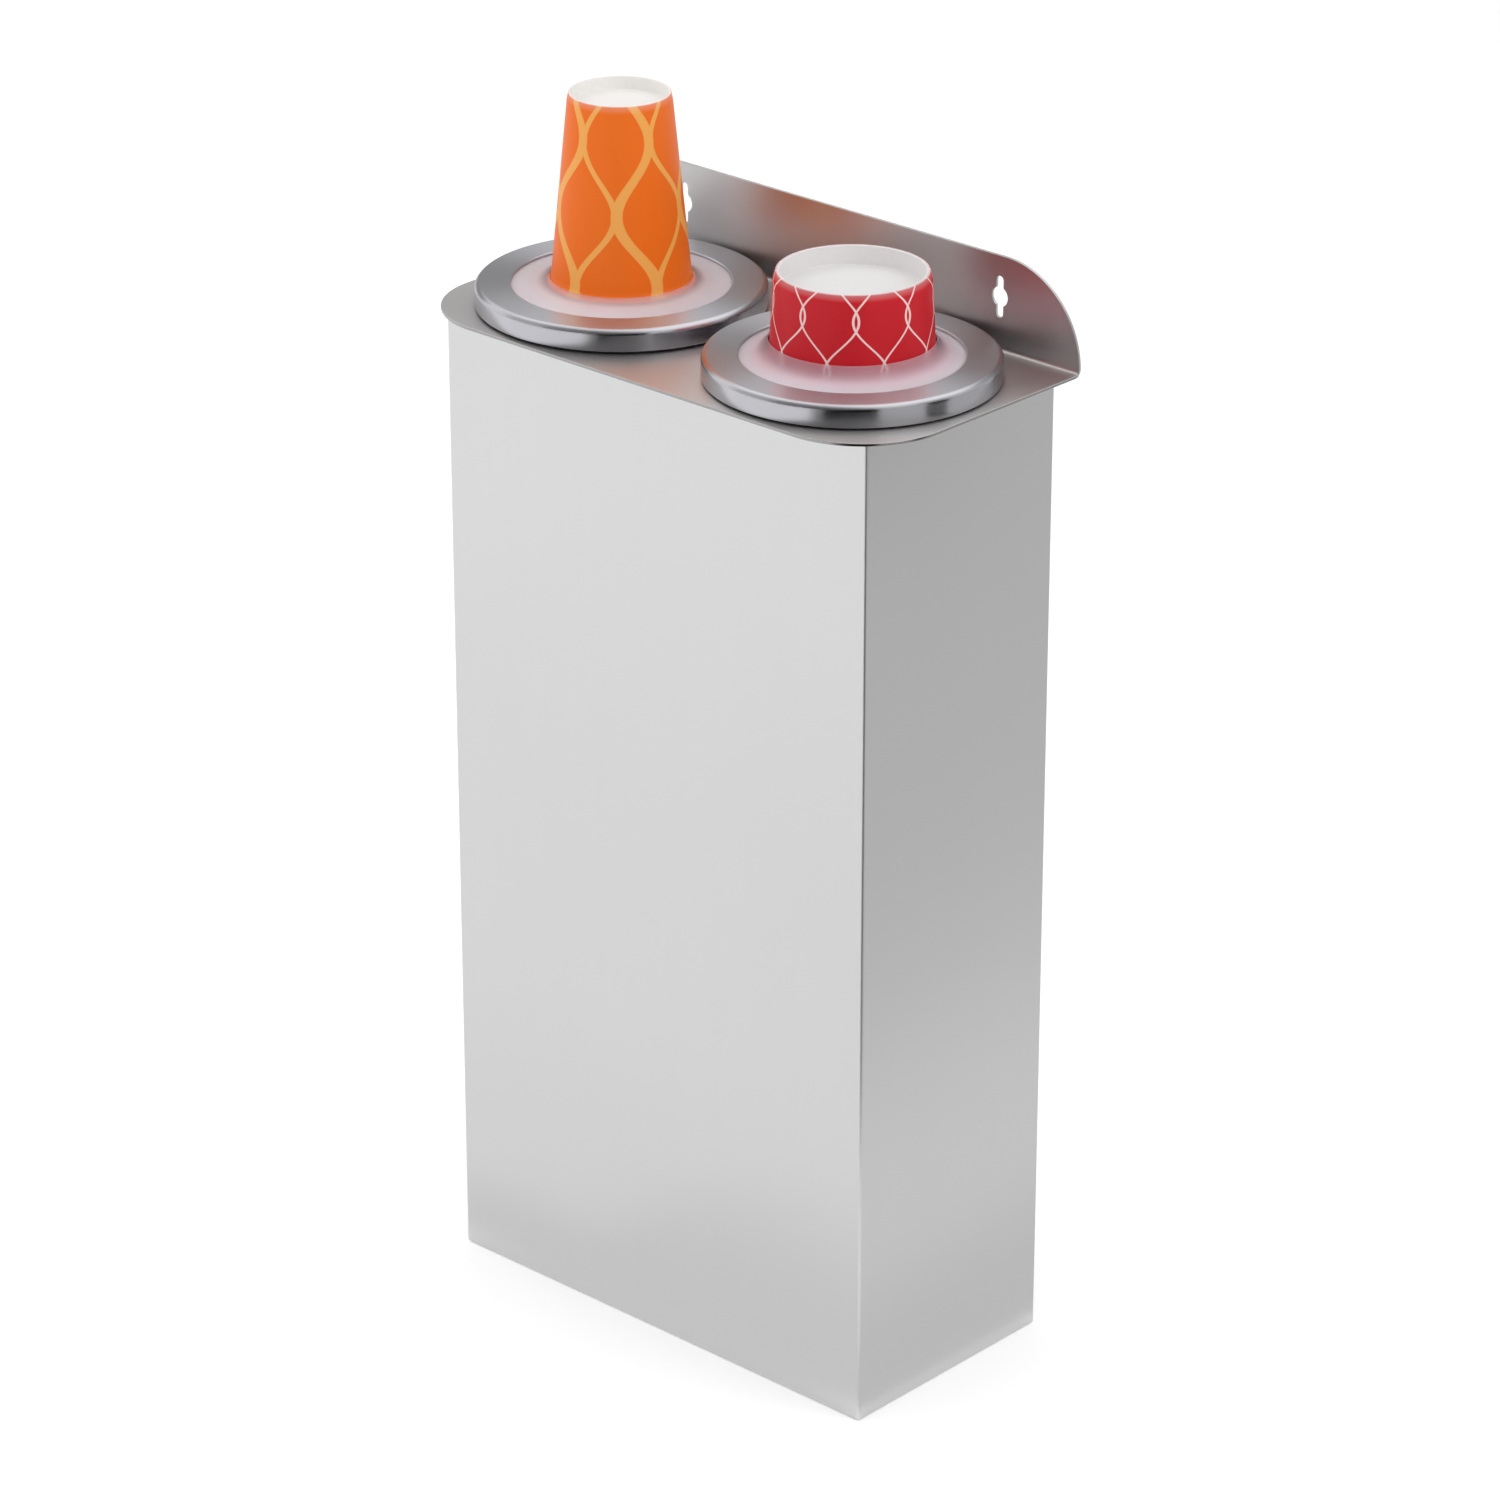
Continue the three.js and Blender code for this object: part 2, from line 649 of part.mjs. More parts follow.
// Lid ring: a drawn ring of sheet with a round shoulder, its inner edge folded to a round lip
function buildLidRing(stack, group) {
  const { sheet, shoulderRadius, openingRoundRadius } = lid;
  const centreR = lidRadius - shoulderRadius;
  const centreZ = lidTop - shoulderRadius;
  const edgeR = openingRadius + openingRoundRadius;
  const profile = [
    [lidRadius, lidLow],
    ...arcPoints(centreR, centreZ, shoulderRadius, 0, 90, 4),
    ...arcPoints(edgeR, lidTop - openingRoundRadius, openingRoundRadius, 90, 180, 1),
    [openingRadius, lidTop - sheet],
    ...arcPoints(centreR, centreZ, shoulderRadius - sheet, 90, 0, 2),
    [lidInnerRadius, lidLow],
  ];
  addMesh(`${stack.side}_lid_ring`, turned(profile, faces.lid), materials.lidSteel, group);
}

// Lid carrier: backs the membrane's flange, fills the ring and takes the collar's spigot in a groove
function buildCarrier(stack, group) {
  const low = carrierTop - carrier.thickness;
  const inner = openingRadius + carrier.setback;
  const grooveInner = spigotRadius - collar.spigotWall - slip;
  const grooveOuter = spigotRadius + slip;
  const grooveTop = collarTop + collar.spigotHeight + slip;
  const shoulder = lid.shoulderRadius - lid.sheet;
  const profile = [
    [inner, low],
    [grooveInner, low],
    [grooveInner, grooveTop],
    [grooveOuter, grooveTop],
    [grooveOuter, low],
    [carrierRadius, low],
    [carrierRadius, carrierTop - shoulder],
    [carrierRadius - shoulder, carrierTop],
    [inner, carrierTop],
  ];
  addMesh(`${stack.side}_lid_carrier`, turned(profile, faces.turned), materials.black, group);
}

// Membrane: a flat flange held under the ring, then a cone that bends upwards round the cup's rolled
// rim and ends in a lip on the cup's wall. Its profile is a middle line with half the thickness added
// on each side.
function buildMembrane(stack, group) {
  const { thickness, edgeRoom, kneeReach, kneeRise } = membrane;
  const { cup } = stack;
  const middleZ = membraneTop - thickness / 2;
  const cupTop = topCupTop(cup);
  const rimTop = cupTop - cup.height + 2 * cup.curlRadius;
  const lipZ = rimTop + cup.gripHeight;
  const lipRadius = cupRadius(cup, cupTop - lipZ) + slip + thickness / 2;
  const cone = new THREE.QuadraticBezierCurve(
    new THREE.Vector2(openingRadius, middleZ),
    new THREE.Vector2(rimRadius(cup) + kneeReach, middleZ + kneeRise),
    new THREE.Vector2(lipRadius, lipZ),
  );
  const middle = [new THREE.Vector2(carrierRadius - edgeRoom, middleZ), ...cone.getPoints(4)];
  const side = (sign) =>
    middle.map((point, i) => {
      const before = middle[Math.max(i - 1, 0)];
      const after = middle[Math.min(i + 1, middle.length - 1)];
      const along = after.clone().sub(before).normalize();
      const step = (sign * thickness) / 2;
      return i < 2 ? [point.x, point.y + step] : [point.x + along.y * step, point.y - along.x * step];
    });
  const profile = [...side(1), ...side(-1).reverse()];
  addMesh(`${stack.side}_membrane`, turned(profile, faces.cup), materials.silicone, group);
}

buildHousing();
buildPlate();
buildPanels();
for (const stack of stacks) {
  const group = new THREE.Group();
  group.position.x = stack.x;
  dispenser.add(group);
  buildCollar(stack, group);
  buildTube(stack, group);
  buildSpring(stack, group);
  buildLifter(stack, group);
  buildCups(stack, group);
  buildLidRing(stack, group);
  buildCarrier(stack, group);
  buildMembrane(stack, group);
}

export default dispenser;
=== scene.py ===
"""Cup dispenser with two sprung stacks: the finished surfaces of its pieces, and the studio around it.

Lengths of pieces are written in millimetres and turned into metres where a mesh is made. The grain of
materials and the studio are in metres. The frame has +Z up, the front at -Y and the wall at +Y.
"""

import json
import math

import bpy
import numpy as np
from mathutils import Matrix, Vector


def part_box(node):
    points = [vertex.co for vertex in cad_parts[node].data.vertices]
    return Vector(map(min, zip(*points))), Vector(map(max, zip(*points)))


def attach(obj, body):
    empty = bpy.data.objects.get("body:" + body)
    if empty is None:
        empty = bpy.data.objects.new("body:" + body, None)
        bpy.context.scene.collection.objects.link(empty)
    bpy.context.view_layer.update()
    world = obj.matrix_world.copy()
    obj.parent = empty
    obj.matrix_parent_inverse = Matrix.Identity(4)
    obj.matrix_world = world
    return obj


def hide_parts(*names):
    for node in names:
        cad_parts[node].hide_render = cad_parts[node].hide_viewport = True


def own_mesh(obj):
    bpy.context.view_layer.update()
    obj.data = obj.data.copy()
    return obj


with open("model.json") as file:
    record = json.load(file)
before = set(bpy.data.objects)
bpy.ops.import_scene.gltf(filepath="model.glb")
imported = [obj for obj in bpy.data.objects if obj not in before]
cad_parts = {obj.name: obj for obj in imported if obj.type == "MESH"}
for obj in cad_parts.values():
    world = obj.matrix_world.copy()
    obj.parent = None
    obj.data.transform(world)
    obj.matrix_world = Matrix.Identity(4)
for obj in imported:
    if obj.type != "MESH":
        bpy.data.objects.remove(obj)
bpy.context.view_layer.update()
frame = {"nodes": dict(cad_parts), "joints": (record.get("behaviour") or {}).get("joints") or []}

MM = 0.001
MERGE_STEP = 1e-4
SIDES = ("left", "right")
TURN = 2 * math.pi


def node_box(name):
    """Lowest and highest corner of a frame node, in millimetres."""
    low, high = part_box(name)
    return np.array(low) / MM, np.array(high) / MM


# Sheet metal
HOUSING_SHEET = 1.2
FOLD_RADIUS = 1.6
FOLD_STEPS = 6
CORNER_STEPS = 8
RETURN_WIDTH = 16.0
PLATE_SHEET = 1.5
FRONT_CORNER = 45.0
FLANGE_CORNER = 45.0
BEND_RADIUS = 2.5
KEYHOLE_END = 48.0
KEYHOLE_HEIGHT = 26.0
KEYHOLE_HEAD = 4.7
KEYHOLE_SLOT = 4.2
KEYHOLE_LENGTH = 20.0
SCREW_HEAD = 3.0
SCREW_DEPTH = 1.1
SCREW_SHANK = 1.5
SCREW_LENGTH = 7.0
SCREW_GAP = 0.05
BACK_SCREW_END = 60.0
FLOOR_SCREW_END = 30.0
EDGE_HOLD = 0.3

# Roundings of turned edges, the distance at which the straight beside them is held, and the share of
# the shorter side that an arc may take
ARC_HOLD = 0.06
ARC_SHARE = 0.49
KEEN = 0.2
SLIGHT = 0.25
FINE = 0.3
PLAIN = 0.4
EASED = 0.5
SOFT = 0.6
BROAD = 0.8

# Lid
LID_SHEET = 1.2
SHOULDER = 2.8
OPENING_RADIUS = 52.0
CARRIER_INSET = 1.5
GROOVE_DEPTH = 3.8
MEMBRANE = 1.2
LIP_THINNING_SHARE = 0.35
KNEE_REACH = 1.0
KNEE_RISE = 1.0
GRIP_HEIGHT = {"left": 1.4, "right": 9.0}
LIP_GAP = 0.3
FLAT_HOLD = 4.0

# Silicone: how much it hides and its colour, at the lip and where it is flat. A ramp gives how far past
# the cup's rim the change from the one to the other begins and ends.
LIP_COVER = {"left": 0.25, "right": 0.27}
FLAT_COVER = 0.84
COVER_RAMP = (-1.2, 5.5)
# The lip's tint is painted light: the pink-red glow of the cup's colour showing through the thin
# silicone.
LIP_PAINTED_GLOW = {"left": (0.76, 0.57, 0.57), "right": (0.74, 0.48, 0.54)}
FLAT_TINT = (0.745, 0.69, 0.735)
TINT_RAMP = (-1.0, 11.0)

# Collar, tube and lifter
NECK_WALL = 2.7
SLIP = 0.3
SPIGOT_RADIUS = 62.0
SPIGOT_WALL = 2.0
FLANGE_THICKNESS = 1.0
BORE_RADIUS = 46.0
BORE_LEAD = 1.5
TUBE_WALL = 2.0
TUBE_GAP = 0.05
FOOT_RADIUS = 10.0
FOOT_HEIGHT = 1.3
BASE_FLOOR = 3.0
PLUG_WALL = 2.0
SEAT_HEIGHT = 10.0
SEAT_WALL = 2.4
SEAT_ROUND = 0.7
COIL_FACET = math.pi / 8
LIFTER_WALL = 2.0
LIFTER_PLATE = 2.5
BOSS_HEIGHT = 14.0
BOSS_TAPER = 2.0
BOSS_GAP = 1.0
BOSS_ROUND = 1.2
PLATFORM_ROUND = 0.9
COIL_RADIUS = 39.0
WIRE_RADIUS = 1.2
COIL_TURNS = 14
COIL_STEPS = 48
COIL_BLEND = 6
WIRE_SIDES = 12
CLOSED_PITCH_SHARE = 1.25

# Cups
CUP_WALL = 0.35
CUP_RECESS = {"left": 6.0, "right": 9.0}
CUP_DISC = 0.5
DISC_CROWN = 0.4
DISC_FALL = 0.25
DISC_FLAT_SHARE = 0.7
DISC_ROUND = 3.0
CREST_ROUND = 0.45
SHOULDER_ROUND = 4.0
WALL_START = 8.0
WALL_END = 0.2
INNER_HOLD = 0.4
DISC_FILLET = 0.5
CUP_SKIRT = {"left": 1.35, "right": 2.7}
CUP_SHOULDER = {"left": 0.35, "right": 1.0}
SHOULDER_DEPTH = 3.6
CUP_CURL = 1.0
CURL_START = 72
CURL_END = -150
CUP_TAPER = {"left": 9.2, "right": 2.2}
SEAM_WIDTH = 6.0
SEAM_STEP = 0.22
SEAM_EDGE_SHARE = 0.25
SEAM_BEARING = 104
KNURL_COUNT = 84
KNURL_DEPTH = 0.12
KNURL_BAND = (-0.3, 0.6)
KNURL_START = 0.4
CREST_MARGIN = 0.1
WORN_SLOPE = 1.6
WORN_SHARE = 0.9
CUP_STEPS = 240

# Photograph's camera
CAMERA_PLACE = (1.7399, -1.8814, 1.4370)
CAMERA_PITCH = 24.074
CAMERA_YAW = 42.608
CAMERA_LENS = 141.32
SENSOR = 36.0


# Surfaces

def linked(name, data):
    """A new object in the scene."""
    made = bpy.data.objects.new(name, data)
    bpy.context.scene.collection.objects.link(made)
    return made


def turned_size(name):
    """Radius, lowest and highest height of a round frame node, in millimetres."""
    low, high = node_box(name)
    return (high[0] - low[0]) / 2, low[2], high[2]


def mirrored(points, faces):
    """A part of the right half and its mirror image, whose faces run the other way round."""
    return [(points, faces), (points * [-1, 1, 1], faces[:, ::-1])]


def joined(*numbers):
    """Points from their coordinates, where a single number holds for all of them."""
    return np.stack(np.broadcast_arrays(*numbers), axis=-1)


def unit(vectors):
    """Vectors brought to length 1."""
    return vectors / np.linalg.norm(vectors, axis=-1, keepdims=True)


def bearings(count):
    """Angles spread evenly over a turn."""
    return np.linspace(0, TURN, count, endpoint=False)


def grid_faces(rows, columns, close_rows=False, close_columns=False):
    """Corner indices of the squares of a grid whose points are stored row by row. A closed direction
    joins its last line to its first."""
    r = np.arange(rows if close_rows else rows - 1)
    c = np.arange(columns if close_columns else columns - 1)
    r0, c0 = np.meshgrid(r, c, indexing="ij")
    r1 = (r0 + 1) % rows
    c1 = (c0 + 1) % columns
    ring = ((r0, c0), (r0, c1), (r1, c1), (r1, c0))
    return np.stack([r * columns + c for r, c in ring], axis=-1).reshape(-1, 4)


def build(name, parts, uv=None):
    """One object from (points in millimetres, corner indices) parts. Points that agree to the merging
    step become one, so seams and poles close, and a square with two equal corners is a triangle."""
    points = np.concatenate([p for p, _ in parts])
    starts = np.cumsum([0] + [len(p) for p, _ in parts[:-1]])
    corners = np.concatenate([f + s for (_, f), s in zip(parts, starts)])
    places = np.round(points / MERGE_STEP)
    _, first, inverse = np.unique(places, axis=0, return_index=True, return_inverse=True)
    merged = inverse.reshape(-1)[corners]
    differs = merged != np.roll(merged, 1, axis=1)
    sizes = differs.sum(axis=1)
    kept = sizes >= 3
    loops = merged[kept][differs[kept]]
    starts = np.concatenate([[0], np.cumsum(sizes[kept])[:-1]])
    mesh = bpy.data.meshes.new(name)
    mesh.vertices.add(len(first))
    mesh.vertices.foreach_set("co", (points[first] * MM).astype(np.float32).ravel())
    mesh.loops.add(len(loops))
    mesh.loops.foreach_set("vertex_index", loops.astype(np.int32))
    mesh.polygons.add(int(kept.sum()))
    mesh.polygons.foreach_set("loop_start", starts.astype(np.int32))
    mesh.update(calc_edges=True)
    if uv is not None:
        layer = mesh.uv_layers.new(name="UVMap")
        chosen = uv[corners[kept][differs[kept]]]
        layer.data.foreach_set("uv", chosen.astype(np.float32).ravel())
    mesh.validate()
    mesh.shade_smooth()
    return linked(name, mesh)


def rounded(corners, steps=4):
    """Profile through [r, z, radius] corners, each swapped for the arc of that radius that touches both
    sides. Points held close to each arc keep the straight stretches flat in the shading. A corner of
    radius 0 stays as it is."""
    places = np.array([[r, z] for r, z, _ in corners], float)
    points = []
    for i, (_, _, radius) in enumerate(corners):
        here = places[i]
        if radius == 0:
            points.append(here[None])
            continue
        before = places[i - 1] - here
        after = places[(i + 1) % len(places)] - here
        reach = min(np.linalg.norm(before), np.linalg.norm(after)) * ARC_SHARE
        before = unit(before)
        after = unit(after)
        half = math.acos(np.clip(before @ after, -1, 1)) / 2
        tangent = min(radius / math.tan(half), reach)
        radius = tangent * math.tan(half)
        centre = here + unit(before + after) * radius / math.sin(half)
        start = here + before * tangent - centre
        sweep = math.pi - 2 * half
        sense = np.sign(start[0] * (after - before)[1] - start[1] * (after - before)[0])
        angle = sense * np.linspace(0, sweep, steps + 1)
        arc = joined(
            centre[0] + start[0] * np.cos(angle) - start[1] * np.sin(angle),
            centre[1] + start[0] * np.sin(angle) + start[1] * np.cos(angle),
        )
        points.append(np.concatenate([arc[:1] + before * ARC_HOLD, arc, arc[-1:] + after * ARC_HOLD]))
    return np.concatenate(points)


def turned(name, profile, x, segments):
    """Profile of (r, z) points turned round a vertical axis at x: the point at angle a is
    (x + r cos a, r sin a, z). A profile that starts off the axis closes on itself."""
    angle = bearings(segments)[:, None]
    r, z = profile.T
    points = joined(x + r * np.cos(angle), r * np.sin(angle), z).reshape(-1, 3)
    closed = profile[0, 0] > 0
    faces = grid_faces(segments, len(profile), close_rows=True, close_columns=closed)
    return build(name, [(points, faces)])


def threes(items, key, kind):
    """The three numbers that each item of a mesh has under a key, one row for each."""
    numbers = np.empty(len(items) * 3, kind)
    items.foreach_get(key, numbers)
    return numbers.reshape(-1, 3)


def outwards(piece):
    """Turns the faces of a closed piece outwards if its signed volume is negative."""
    mesh = piece.data
    mesh.calc_loop_triangles()
    corners = threes(mesh.loop_triangles, "vertices", np.int32)
    places = threes(mesh.vertices, "co", np.float32)
    a, b, c = np.moveaxis(places[corners].astype(float), 1, 0)
    if np.einsum("ij,ij->i", a, np.cross(b, c)).sum() < 0:
        mesh.flip_normals()
    return piece


# Shader expressions

class Value:
    """A socket of a material's node tree. Operators on it add Math nodes."""

    def __init__(self, graph, socket):
        self.graph = graph
        self.socket = socket

    def math(self, operation, *others):
        return self.graph.add("ShaderNodeMath", [self, *others], operation=operation)

    def __add__(self, other):
        return self.math("ADD", other)

    def __mul__(self, other):
        return self.math("MULTIPLY", other)

    def __sub__(self, other):
        return self.math("SUBTRACT", other)

    def __rsub__(self, other):
        return self.graph.add("ShaderNodeMath", [other, self], operation="SUBTRACT")

    __radd__ = __add__
    __rmul__ = __mul__

    def spread(self, amount):
        """A noise about 0 instead of a half, with its range brought to an amount."""
        return (self - 0.5) * amount

    def between(self, low, high):
        """0 below low and 1 above high, with a smooth rise."""
        ramp = [self, low, high, 0.0, 1.0]
        return self.graph.add("ShaderNodeMapRange", ramp, interpolation_type="SMOOTHSTEP")


class Graph:
    """The node tree of a material or of the world."""

    def __init__(self, owner):
        owner.use_nodes = True
        self.tree = owner.node_tree
        self.tree.nodes.clear()

    def add(self, kind, inputs=(), output=0, **settings):
        """A node of a kind, with values or links for its sockets, by place or by name. Gives one of its
        outputs, if it has any."""
        node = self.tree.nodes.new(kind)
        for key, value in settings.items():
            setattr(node, key, value)
        pairs = inputs.items() if isinstance(inputs, dict) else enumerate(inputs)
        for key, value in pairs:
            if isinstance(value, Value):
                self.tree.links.new(value.socket, node.inputs[key])
            else:
                node.inputs[key].default_value = value
        return Value(self, node.outputs[output]) if node.outputs else None

    def parts(self, vector):
        """The three numbers of a vector."""
        first = self.add("ShaderNodeSeparateXYZ", [vector])
        return [Value(self, socket) for socket in first.socket.node.outputs]

    def mix(self, factor, first, second):
        """Colour between two colours, whose sockets are the Mix node's seventh and eighth."""
        return self.add("ShaderNodeMix", {0: factor, 6: first, 7: second}, 2, data_type="RGBA")

    def noise(self, vector, scale, detail, roughness=0.5):
        """Noise from 0 to 1 with its mean at a half."""
        inputs = {"Vector": vector, "Scale": scale, "Detail": detail, "Roughness": roughness}
        return self.add("ShaderNodeTexNoise", inputs)

    def stretched(self, vector, scale, centre=(0, 0, 0)):
        """Object coordinates about a centre, scaled by different amounts along the axes."""
        moved = self.add("ShaderNodeVectorMath", [vector, centre], operation="SUBTRACT")
        return self.add("ShaderNodeVectorMath", [moved, scale], operation="MULTIPLY")

    def bump(self, height, distance, strength):
        return self.add("ShaderNodeBump", {"Height": height, "Distance": distance, "Strength": strength})

    def rays(self, *names):
        """1 for a ray of any of the named kinds, such as Camera, and 0 for the others."""
        outputs = self.add("ShaderNodeLightPath").socket.node.outputs
        found = [Value(self, outputs[f"Is {name} Ray"]) for name in names]
        total = found[0]
        for other in found[1:]:
            total = total.math("MAXIMUM", other)
        return total

    def surface(self, kind, inputs):
        """Ends a material's tree in a shader and the output."""
        self.add("ShaderNodeOutputMaterial", [self.add(kind, inputs)])


def rgb(colour, share=1.0):
    """A colour for a socket, each of its numbers times a share and at most 1."""
    return (*(min(c * share, 1.0) for c in colour), 1.0)


def material(name):
    """A new material, its graph, and the Object coordinates in it."""
    made = bpy.data.materials.new(name)
    graph = Graph(made)
    place = graph.add("ShaderNodeTexCoord", output=3)
    return made, graph, place


# Steel: sizes of the grain and of the bands, then how much each noise changes shade and roughness

GRAIN_WIDTH = 0.00035
GRAIN_LENGTH = 0.06
BAND_WIDTH = 0.009
BAND_LENGTH = 0.36
ROUND_BAND_WIDTH = 0.00225
ROUND_GRAIN_SCALE = 3.0
GRAIN_SHADE = 0.10
BAND_SHADE = 0.05
CLOUD_SHADE = 0.03
STEEL_CONTRAST = 0.14
GRAIN_ROUGHNESS = 0.08
CLOUD_ROUGHNESS = 0.05
GRAIN_RELIEF = (0.00002, 0.35)
QUARTER_TURN = 0.25
STEP_BLUR = 0.1
BLACK = (0.0, 0.0, 0.0)


def brush_places(graph, place, along, centre_x):
    """Coordinates in which a noise of scale 1 makes grain and wider bands: long along the brushing and
    fine across it. Round brushing follows circles about a vertical axis."""
    sizes = ((GRAIN_WIDTH, GRAIN_LENGTH), (BAND_WIDTH, BAND_LENGTH))
    if along != "round":
        scales = [tuple(1 / (long if axis == along else fine) for axis in "xyz") for fine, long in sizes]
        return [graph.stretched(place, scale) for scale in scales]
    x, y, z = graph.parts(graph.stretched(place, (1, 1, 1), (centre_x, 0, 0)))
    out_and_up = (x * x + y * y).math("SQRT") + z
    grain = [out_and_up * (1 / GRAIN_WIDTH), y.math("ARCTAN2", x) * ROUND_GRAIN_SCALE, 0.0]
    bands = [out_and_up * (1 / ROUND_BAND_WIDTH), 0.0, 0.0]
    return [graph.add("ShaderNodeCombineXYZ", numbers) for numbers in (grain, bands)]


def brushed(name, colour, roughness, along, anisotropy, centre_x=0.0, low_parts=()):
    """Brushed steel: fine grain along one direction, faint wider bands and a slow cloud of handling.
    Each of low_parts gives a height in millimetres, and the roughness and shade of the steel below it."""
    made, graph, place = material(name)
    grain_place, band_place = brush_places(graph, place, along, centre_x)
    grain = graph.noise(grain_place, 1.0, 3.0, 0.7)
    band = graph.noise(band_place, 1.0, 2.0)
    cloud = graph.noise(place, 9.0, 3.0, 0.6)
    light = grain.spread(GRAIN_SHADE) + band.spread(BAND_SHADE) + cloud.spread(CLOUD_SHADE) + 0.5
    base = graph.mix(light, rgb(colour, 1 - STEEL_CONTRAST), rgb(colour, 1 + STEEL_CONTRAST))
    level = roughness
    before = roughness
    for height, low_roughness, shade in low_parts:
        _, _, z = graph.parts(place)
        below = 1.0 - z.between((height - STEP_BLUR) * MM, (height + STEP_BLUR) * MM)
        level = below * (low_roughness - before) + level
        before = low_roughness
        base = graph.mix(below * (1.0 - shade), base, rgb(BLACK))
    rough = grain.spread(GRAIN_ROUGHNESS) + cloud.spread(CLOUD_ROUGHNESS) + level
    normal = graph.bump(grain, *GRAIN_RELIEF)
    turn = QUARTER_TURN if along in ("x", "round") else 0.0
    graph.surface("ShaderNodeBsdfPrincipled", {
        "Base Color": base,
        "Metallic": 1.0,
        "Roughness": rough,
        "Anisotropic": anisotropy,
        "Anisotropic Rotation": turn,
        "Normal": normal,
    })
    return made


def moulded(name, colour, roughness, grain_size, depth):
    """Moulded plastic: a fine sparked texture and a slow change of tone."""
    made, graph, place = material(name)
    pebbles = graph.noise(place, 1 / grain_size, 2.0, 0.6)
    cloud = graph.noise(place, 14.0, 2.0)
    light = cloud.spread(0.5) + 0.5
    base = graph.mix(light, rgb(colour, 0.93), rgb(colour, 1.06))
    graph.surface("ShaderNodeBsdfPrincipled", {
        "Base Color": base,
        "Roughness": pebbles.spread(0.12) + roughness,
        "Normal": graph.bump(pebbles, depth, 0.6),
    })
    return made


def silicone(side):
    """Milky silicone. Where it is stretched over the cup, the cup shows, and a painted pink-red glow of
    the cup tints it.
    Its flat part hides what is under it. A ray meets both its faces, and each hides a share."""
    made, graph, place = material(f"{side}_silicone")
    rim = rim_radius(side)
    x, y, _ = graph.parts(graph.stretched(place, (1, 1, 1), (axis_x[side] * MM, 0, 0)))
    radius = (x * x + y * y).math("SQRT")
    off_cup, off_tint = (
        radius.between((rim + start) * MM, (rim + end) * MM) for start, end in (COVER_RAMP, TINT_RAMP))
    lip_cover = LIP_COVER[side]
    cloud = graph.noise(place, 60.0, 2.0)
    patch = graph.noise(place, 34.0, 1.0)
    tone = cloud.spread(0.3) + off_tint
    # Near the lip the colour turns to the painted pink-red glow of the cup.
    base = graph.mix(tone, rgb(LIP_PAINTED_GLOW[side]), rgb(FLAT_TINT))
    graph.surface("ShaderNodeBsdfPrincipled", {
        "Base Color": base,
        "Roughness": cloud.spread(0.08) + 0.36,
        "IOR": 1.41,
        "Subsurface Weight": 0.5,
        "Subsurface Radius": (0.9, 0.75, 0.75),
        "Subsurface Scale": 0.004,
        "Alpha": off_cup * (FLAT_COVER - lip_cover) + patch.spread(0.12) + lip_cover,
        "Normal": graph.bump(graph.noise(place, 1400.0, 2.0), 0.00003, 0.4),
    })
    return made


# Printed paper. The print is a lattice of waves: two families of lines, each a sine of the height, that
# swing opposite ways and cross.

def wave_mask(u, v, count, swing, waves, shift, half_width, soft):
    """1 on the lines u = (k + shift + swing sin(2 pi waves v)) / count, for every whole k, and 0 away
    from them. half_width is a share of the distance between lines."""
    swung = (v * (TURN * waves)).math("SINE") * swing
    phase = u * float(count) - swung + (0.5 - shift)
    off = (phase.math("FRACT") - 0.5).math("ABSOLUTE")
    return 1.0 - off.between(half_width - soft, half_width + soft)


def printed_paper(name, ground, line, families, board_tint):
    """Coated cup board: the print on the wall, white board inside, on the base and on the rolled rim."""
    made, graph, place = material(name)
    u, v, _ = graph.parts(graph.add("ShaderNodeUVMap", uv_map="UVMap"))
    mask = None
    for family in families:
        found = wave_mask(u, v, **family)
        mask = found if mask is None else mask.math("MAXIMUM", found)
    ink = graph.noise(place, 420.0, 3.0, 0.7)
    tone = ink.spread(0.30) + 0.5
    ground_colour = graph.mix(tone, rgb(ground, 0.93), rgb(ground, 1.07))
    design = graph.mix(mask, ground_colour, rgb(line))
    fibre = graph.noise(place, 900.0, 3.0, 0.7)
    board = graph.mix(fibre, rgb(board_tint, 0.94), rgb(board_tint, 1.06))
    on_wall = graph.add("ShaderNodeAttribute", output=2, attribute_name="printed")
    base = graph.mix(on_wall, board, design)
    graph.surface("ShaderNodeBsdfPrincipled", {
        "Base Color": base,
        "Roughness": fibre.spread(0.16) + 0.46,
        "Specular IOR Level": 0.28,
        "Coat Weight": on_wall * 0.06,
        "Coat Roughness": 0.25,
        "Normal": graph.bump(fibre, 0.00003, 0.5),
    })
    return made


axis_x = {side: float(sum(b[0] for b in node_box(f"{side}_lid_ring")) / 2) for side in SIDES}
lid_top = {side: float(turned_size(f"{side}_lid_ring")[2]) for side in SIDES}
PLATE_TOP = float(node_box("top_plate")[0][2]) + PLATE_SHEET

HOUSING_STEEL = brushed("housing_steel", (0.72, 0.72, 0.72), 0.36, "z", 0.6)
# The horizontal plate, up to 0.4 mm over its top face, is rougher than the flange. Its cut edge, from 0.3
# mm under the top face, is smoother and darkened to 0.6 of its colour: the darkening is painted shade of
# the dark line under the plate's rounded corner.
PLATE_STEEL = brushed("plate_steel", (0.64, 0.625, 0.62), 0.38, "x", 0.5,
                      low_parts=((PLATE_TOP + 0.4, 0.46, 1.0), (PLATE_TOP - 0.3, 0.24, 0.6)))
LID_STEEL = {
    side: brushed(f"{side}_lid_steel", (0.585, 0.58, 0.612), 0.34, "round", 0.8, axis_x[side] * MM,
                  ((lid_top[side] - SHOULDER * 0.6, 0.22, 0.93),))
    for side in SIDES
}
SPRING_STEEL = brushed("spring_steel", (0.55, 0.55, 0.56), 0.3, "z", 0.0)
